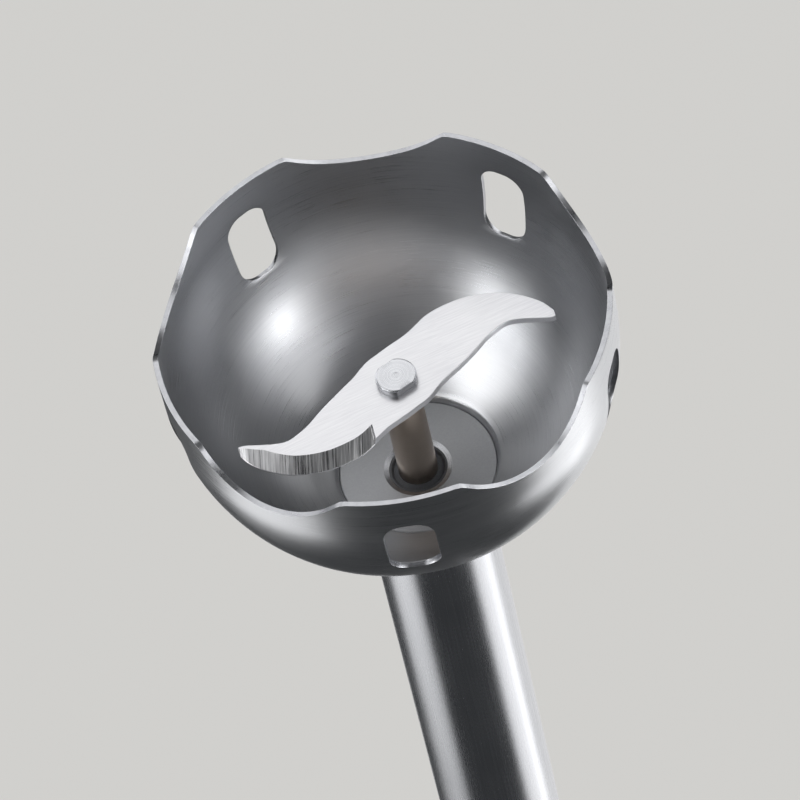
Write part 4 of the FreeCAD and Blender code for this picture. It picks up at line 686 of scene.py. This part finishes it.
class IMMERSION_OT_blade(bpy.types.Operator):
    """Builds the S-shaped blade with one edge ground on top and the other underneath"""
    bl_idname = "immersion.blade"
    bl_label = "Blade"

    def execute(self, context):
        sizes = context.scene.immersion_sizes
        stations = 132
        rows = 8
        half_turned = [(-x, -y) for x, y in WING_CUTTING_EDGE[::-1]]
        near = resampled(eased_line(half_turned + WING_BACK_EDGE[::-1]), stations)
        far = [(-x, -y) for x, y in near[::-1]]
        thickness = BLADE_HIGH.z - BLADE_LOW.z
        run, depth = sizes.grind_run / MM, sizes.grind_depth / MM
        grind_end = 7.0
        # shares of a rung: its outermost row where nothing is ground, and the widest grinding
        margin, widest = 0.08, 0.75
        fold_start, fold_width, fold_drop, wing_slope = 7.0, 2.6, 0.1, 0.012

        def ground_share(start, end, x):
            """The share of a rung, from its cutting edge, that the grinding takes up."""
            if x > 0:
                return margin
            wanted = min(widest, run / math.dist(start, end))
            return wanted if x < -grind_end else margin + (wanted - margin) * (x / -grind_end)

        def rung(column, row):
            start, end = near[column], far[column]
            low = ground_share(start, end, start[0])
            high = 1 - ground_share(start, end, -end[0])
            inner = [low + (high - low) * step / (rows - 2) for step in range(1, rows - 2)]
            return between(start, end, (0, low, *inner, high, 1)[row])

        bm = bmesh.new()
        above = bm.verts.layers.float.new("ground_above")
        below = bm.verts.layers.float.new("ground_below")
        laid_grid(bm, stations, rows, lambda column, row: (column, row, 0))
        for vert in bm.verts:
            column, row = round(vert.co.x / MM), round(vert.co.y / MM)
            vert[above] = depth if row == 0 and near[column][0] < -grind_end else 0
            vert[below] = depth if row == rows and far[column][0] > grind_end else 0
            x, y = rung(column, row)
            share = min(1.0, max(0.0, (abs(x) - fold_start) / fold_width))
            fold = fold_drop * share ** 2 * (3 - 2 * share) + wing_slope * max(0.0, abs(x) - fold_start)
            vert.co = Vector((x, y, BLADE_LOW.z - fold)) * MM
        raised = bmesh.ops.extrude_face_region(bm, geom=bm.faces[:])["geom"]
        top = {item for item in raised if isinstance(item, bmesh.types.BMVert)}
        for vert in bm.verts:
            vert.co.z += (thickness - vert[above]) * MM if vert in top else vert[below] * MM
        merged(bm)
        for face in bm.faces:
            on_top = all(vert in top for vert in face.verts)
            marks = [vert[above] if on_top else vert[below] for vert in face.verts]
            same_side = on_top or not any(vert in top for vert in face.verts)
            face.material_index = 1 if same_side and any(marks) else 0
        ease(bm, 0.12, crease=50, segments=2)
        swung(bm, bm.verts[:], sizes.blade_angle)
        finished(bm, "s_blade", ["blade"], ["satin_blade_steel", "wheel_ground_steel"], crease=14)
        return {"FINISHED"}


class IMMERSION_OT_leg_collar(bpy.types.Operator):
    """Builds the collar that widens from the tube to the handle"""
    bl_idname = "immersion.leg_collar"
    bl_label = "Leg collar"

    def execute(self, context):
        bend = context.scene.immersion_sizes.collar_bend / MM
        low = COLLAR_LOW.z
        wide = COLLAR_HIGH.x
        neck = TUBE_HIGH.x + 1.6
        skirt_top, neck_foot = low + 15, low + 31
        socket = span("collar_core")[1].x
        seat = span("collar_core")[0].z + 3.0
        bm = merged(turned([
            (socket, low), (wide, low), (wide, skirt_top), (neck, neck_foot), (neck, COLLAR_HIGH.z),
            (TUBE_HIGH.x, COLLAR_HIGH.z), (TUBE_HIGH.x, seat), (socket, seat)],
            bends={0: 0.4, 1: 0.5, 2: bend, 3: bend, 4: 0.7}))
        finished(bm, "leg_collar_shell", ["leg_collar"], ["spark_textured_abs"])
        return {"FINISHED"}


class IMMERSION_OT_handle(bpy.types.Operator):
    """Builds the handle's outside: nose, release buttons, steel band, grip, bezel and cord inlet"""
    bl_idname = "immersion.handle"
    bl_label = "Handle"

    def execute(self, context):
        inner = BAND_HIGH.x - 1.0
        bm = merged(turned([(inner, BAND_LOW.z), (BAND_HIGH.x, BAND_LOW.z), (BAND_HIGH.x, BAND_HIGH.z),
                            (inner, BAND_HIGH.z)], bends={1: 0.3, 2: 0.3}))
        finished(bm, "brushed_band", ["steel_band"], ["ring_brushed_stainless"])
        eased_copy("motor_nose", "nose_ring", "spark_textured_abs", 0.3)
        eased_copy("release_button_right", "release_pad_right", "satin_grey_abs", 0.5, segments=3)
        eased_copy("release_button_left", "release_pad_left", "satin_grey_abs", 0.5, segments=3)
        eased_copy("grip_sleeve", "soft_grip", "soft_touch_elastomer", 0.3, detail=self.finger_ribs)
        eased_copy("button_bezel", "gloss_bezel", "polished_black_abs", 0.35, segments=3)
        eased_copy("cord_inlet", "inlet_bush", "black_seal_rubber", 0.3)
        return {"FINISHED"}

    def finger_ribs(self, bm):
        """Low round ribs across both sides of the tapered grip."""
        grip_low, grip_high = span("grip_sleeve")
        foot = span("speed_dial")[1].z + 0.3
        taper = (BAND_HIGH.x - GRIP_FOOT_RADIUS) / (grip_high.z - foot)
        lowest, pitch = grip_low.z + 22, 6
        # a rib's section as (outwards, upwards), and its sweep and starts in degrees from the front
        section = ((-0.3, -1.2), (0.2, -0.8), (0.4, -0.3), (0.4, 0.3), (0.2, 0.8), (-0.3, 1.2))
        sweep, starts = 84, (48, -132)
        for rib in range(GRIP_RIBS):
            height = lowest + pitch * rib
            radius = GRIP_FOOT_RADIUS + taper * (height - foot)
            for start in starts:
                verts = [bm.verts.new((0, -(radius + out + taper * up) * MM, (height + up) * MM))
                         for out, up in section]
                edges = [bm.edges.new(pair) for pair in zip(verts, verts[1:] + verts[:1])]
                swung(bm, verts, math.radians(start))
                last = bmesh.ops.spin(bm, geom=verts + edges, cent=(0, 0, 0), axis=(0, 0, 1),
                                      angle=math.radians(sweep), steps=sweep // 3)["geom_last"]
                for end in (edges, [item for item in last if isinstance(item, bmesh.types.BMEdge)]):
                    bmesh.ops.contextual_create(bm, geom=end)
        bmesh.ops.recalc_face_normals(bm, faces=bm.faces[:])


class IMMERSION_OT_buttons(bpy.types.Operator):
    """Builds the two push buttons, dished and grooved for the thumb"""
    bl_idname = "immersion.buttons"
    bl_label = "Push buttons"

    def execute(self, context):
        stem, stem_length = 2, 1.9
        flange_width, flange_height = 1.5, 1.2
        # the finger groove's half width at its top and at its foot, and its depth
        groove_top, groove_foot, groove_depth = 0.45, 0.2, 0.35
        dish_edge, dish_depth = 0.05, 0.5
        for node in ("on_button", "turbo_button"):
            low, high = span(node)
            flange = high.x
            radius = flange - flange_width
            back, front = -high.y, -low.y
            seat = back + stem_length
            ledge = seat + flange_height
            groove = 0.66 * radius
            bm = merged(turned([
                (0, back), (stem, back), (stem, seat), (flange, seat), (flange, ledge), (radius, ledge),
                (radius, front), (groove + groove_top, front), (groove + groove_foot, front - groove_depth),
                (groove - groove_foot, front - groove_depth), (groove - groove_top, front - dish_edge),
                (0, front - dish_depth)],
                bends={6: 1.2, 7: 0.12, 10: 0.3}, steps=SMALL_STEPS, closed=False))
            swung(bm, bm.verts[:], math.pi / 2, "X")
            bmesh.ops.translate(bm, verts=bm.verts[:], vec=(0, 0, (low.z + high.z) / 2 * MM))
            finished(bm, f"{node}_cap", [node], ["satin_grey_abs"])
        return {"FINISHED"}


class IMMERSION_OT_return_springs(bpy.types.Operator):
    """Builds the silicone sleeves and coil springs that push the buttons back"""
    bl_idname = "immersion.return_springs"
    bl_label = "Return springs"

    def execute(self, context):
        for button in ("on_button", "turbo_button"):
            node = f"{button}_sleeve"
            sleeve = eased_copy(node, f"{button}_spring_sleeve", "black_seal_rubber", 0)
            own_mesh(sleeve)
        for side, out in (("right", 1), ("left", -1)):
            node = f"release_spring_{side}"
            coil = eased_copy(node, f"release_coil_{side}", "drawn_spring_steel", 0)
            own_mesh(coil)
        return {"FINISHED"}


class IMMERSION_OT_handle_end(bpy.types.Operator):
    """Builds the end cap, its screws and the fluted speed dial"""
    bl_idname = "immersion.handle_end"
    bl_label = "End cap and dial"

    def execute(self, context):
        eased_copy("end_cap", "end_cap_shell", "spark_textured_abs", 0.3)
        eased_copy("cap_screws", "end_cap_screws", "zinc_plated_steel", 0.3)
        eased_copy("speed_dial", "fluted_dial", "spark_textured_abs", 0.2)
        return {"FINISHED"}


class IMMERSION_OT_inner_parts(bpy.types.Operator):
    """Gives every CAD node that still shows the finish of its material slot"""
    bl_idname = "immersion.inner_parts"
    bl_label = "Inner parts"

    def execute(self, context):
        for node in ("plug_seal", "drive_socket", "driven_coupling", "collar_core"):
            eased_copy(node, f"{node}_eased", FINISH_OF_SLOT[SLOT_OF[node]], 0.15)
        for node, part in frame["nodes"].items():
            if not part.hide_render:
                part.data.materials.clear()
                part.data.materials.append(finish(FINISH_OF_SLOT[SLOT_OF[node]]))
        return {"FINISHED"}


# ---------------------------------------------------------------- stage

# name, azimuth from the front and elevation in degrees, width and height in metres, watts
SOFTBOXES = (
    ("right_softbox", 57, 11, 0.85, 0.72, 20.0),
    ("left_softbox", -66, 18, 0.95, 0.6, 8.0),
    ("high_right_softbox", 66, 38, 1.0, 0.5, 3.6),
    ("high_left_softbox", -78, 46, 0.9, 0.9, 6.0),
    ("back_softbox", 180, 52, 1.6, 1.1, 8.5),
    ("low_right_panel", 86, -46, 0.6, 0.9, 2.6),
    ("low_left_panel", -76, -40, 0.8, 0.9, 3.0),
    ("low_back_panel", 150, -58, 1.3, 0.6, 2.2),
    ("rear_right_softbox", 140, 2, 0.8, 1.3, 7.0),
    ("rear_left_softbox", -146, 2, 0.8, 1.3, 5.0),
)
SOFTBOX_DISTANCE = 1.3
# the only softboxes whose light falls on the floor
FLOOR_LIGHTS = ("high_right_softbox", "high_left_softbox", "back_softbox")
FLOOR_RADIUS = 14.0
DIM_STRENGTH = 0.045
# the camera looks down into the bell: its place in metres, its right and up directions, its lens in mm
CAMERA_PLACE = (0.05276660, -0.49213534, 1.04748700)
CAMERA_RIGHT = (0.98618932, -0.08605909, -0.14150786)
CAMERA_UP = (0.15287010, 0.80174251, 0.57778860)
CAMERA_LENS = 256.2


class IMMERSION_OT_stage(bpy.types.Operator):
    """Sets up the pale floor, the softboxes, the surround and the camera"""
    bl_idname = "immersion.stage"
    bl_label = "Stage"

    def execute(self, context):
        scene = context.scene
        colours = scene.immersion_colours
        bm = bmesh.new()
        bmesh.ops.create_circle(bm, cap_ends=True, segments=SMALL_STEPS, radius=FLOOR_RADIUS)
        mesh = bpy.data.meshes.new("floor")
        bm.to_mesh(mesh)
        bm.free()
        floor = bpy.data.objects.new("floor", mesh)
        scene.collection.objects.link(floor)
        # the low panels stand under the floor, which lets their light through as clear acrylic would
        floor.visible_glossy = False
        floor.visible_shadow = False
        mesh.materials.append(self.floor_finish(colours))

        # an upright box would draw its own plane as a line across the floor, so most lights pass it by
        all_but_floor = bpy.data.collections.new("all_but_floor")
        all_but_floor.objects.link(floor)
        all_but_floor.collection_objects[0].light_linking.link_state = "EXCLUDE"

        # every softbox aims at the inside of the bell
        aim = Vector((0, 0, MOUTH - 20)) * MM
        for name, azimuth, elevation, width, height, watts in SOFTBOXES:
            light = bpy.data.lights.new(name, "AREA")
            light.shape = "RECTANGLE"
            light.size = width
            light.size_y = height
            light.energy = watts
            box = bpy.data.objects.new(name, light)
            scene.collection.objects.link(box)
            a, e = math.radians(azimuth), math.radians(elevation)
            out = Vector((math.sin(a) * math.cos(e), -math.cos(a) * math.cos(e), math.sin(e)))
            turn = out.to_track_quat("Z", "Y").to_matrix().to_4x4()
            box.matrix_world = Matrix.Translation(aim + out * SOFTBOX_DISTANCE) @ turn
            box.visible_camera = False
            if name not in FLOOR_LIGHTS:
                box.light_linking.receiver_collection = all_but_floor

        world = bpy.data.worlds.new("surround")
        scene.world = world
        world.use_nodes = True
        tree = world.node_tree
        tree.nodes.clear()
        dim = add(tree, "ShaderNodeBackground", {"Color": (0.9, 0.95, 1, 1), "Strength": DIM_STRENGTH})
        pale = add(tree, "ShaderNodeBackground", {"Color": (*colours.surround, 1), "Strength": 1.0})
        seen = add(tree, "ShaderNodeLightPath").outputs["Is Camera Ray"]
        both = add(tree, "ShaderNodeMixShader", {0: seen, 1: dim.outputs[0], 2: pale.outputs[0]})
        add(tree, "ShaderNodeOutputWorld", {"Surface": both.outputs[0]})
        scene.view_settings.view_transform = "Standard"

        lens = bpy.data.cameras.new("camera")
        lens.lens = CAMERA_LENS
        lens.clip_start = 0.05
        lens.clip_end = 40
        camera = bpy.data.objects.new("camera", lens)
        scene.collection.objects.link(camera)
        right, up = Vector(CAMERA_RIGHT), Vector(CAMERA_UP)
        turn = Matrix((right, up, right.cross(up))).transposed().to_4x4()
        camera.matrix_world = Matrix.Translation(CAMERA_PLACE) @ turn
        scene.camera = camera
        return {"FINISHED"}

    def floor_finish(self, colours):
        """Matt painted board: even and pale, glowing a little, with a soft mottle 0.4 m across."""
        material, tree, shader, place = new_finish("matt_painted_board")
        mottle = add(tree, "ShaderNodeTexNoise", {"Vector": place, "Scale": 1 / 0.4, "Detail": 2.0})
        dark, light = ((*[share * c for c in colours.floor], 1) for share in (0.2, 0.22))
        tone = add(tree, "ShaderNodeMix", {"Factor": mottle.outputs[0], "A": dark, "B": light},
                   data_type="RGBA")
        tree.links.new(tone.outputs["Result"], shader.inputs["Base Color"])
        shader.inputs["Roughness"].default_value = 0.9
        shader.inputs["Specular IOR Level"].default_value = 0.1
        shader.inputs["Emission Color"].default_value = (*colours.floor, 1)
        shader.inputs["Emission Strength"].default_value = 0.75
        return material


BUILDERS = (
    IMMERSION_OT_bell, IMMERSION_OT_leg_tube, IMMERSION_OT_bell_floor, IMMERSION_OT_spindle,
    IMMERSION_OT_blade, IMMERSION_OT_leg_collar, IMMERSION_OT_handle, IMMERSION_OT_buttons,
    IMMERSION_OT_return_springs, IMMERSION_OT_handle_end, IMMERSION_OT_inner_parts, IMMERSION_OT_stage)


class IMMERSION_PT_panel(bpy.types.Panel):
    """Lists the blender's sizes, colours and pieces"""
    bl_idname = "IMMERSION_PT_panel"
    bl_label = "Immersion Blender"
    bl_space_type = "VIEW_3D"
    bl_region_type = "UI"
    bl_category = "Blender"

    def draw(self, context):
        for settings in (context.scene.immersion_sizes, context.scene.immersion_colours):
            column = self.layout.column(align=True)
            for name in settings.__annotations__:
                column.prop(settings, name)
        column = self.layout.column(align=True)
        for builder in BUILDERS:
            column.operator(builder.bl_idname)


CLASSES = (ImmersionBlenderSizes, ImmersionBlenderColours, *BUILDERS, IMMERSION_PT_panel)


def register():
    for each in CLASSES:
        bpy.utils.register_class(each)
    bpy.types.Scene.immersion_sizes = PointerProperty(type=ImmersionBlenderSizes)
    bpy.types.Scene.immersion_colours = PointerProperty(type=ImmersionBlenderColours)


def unregister():
    del bpy.types.Scene.immersion_colours
    del bpy.types.Scene.immersion_sizes
    for each in reversed(CLASSES):
        bpy.utils.unregister_class(each)


def main():
    register()
    for builder in BUILDERS:
        group, action = builder.bl_idname.split(".")
        getattr(getattr(bpy.ops, group), action)()


if __name__ == "__main__":
    main()
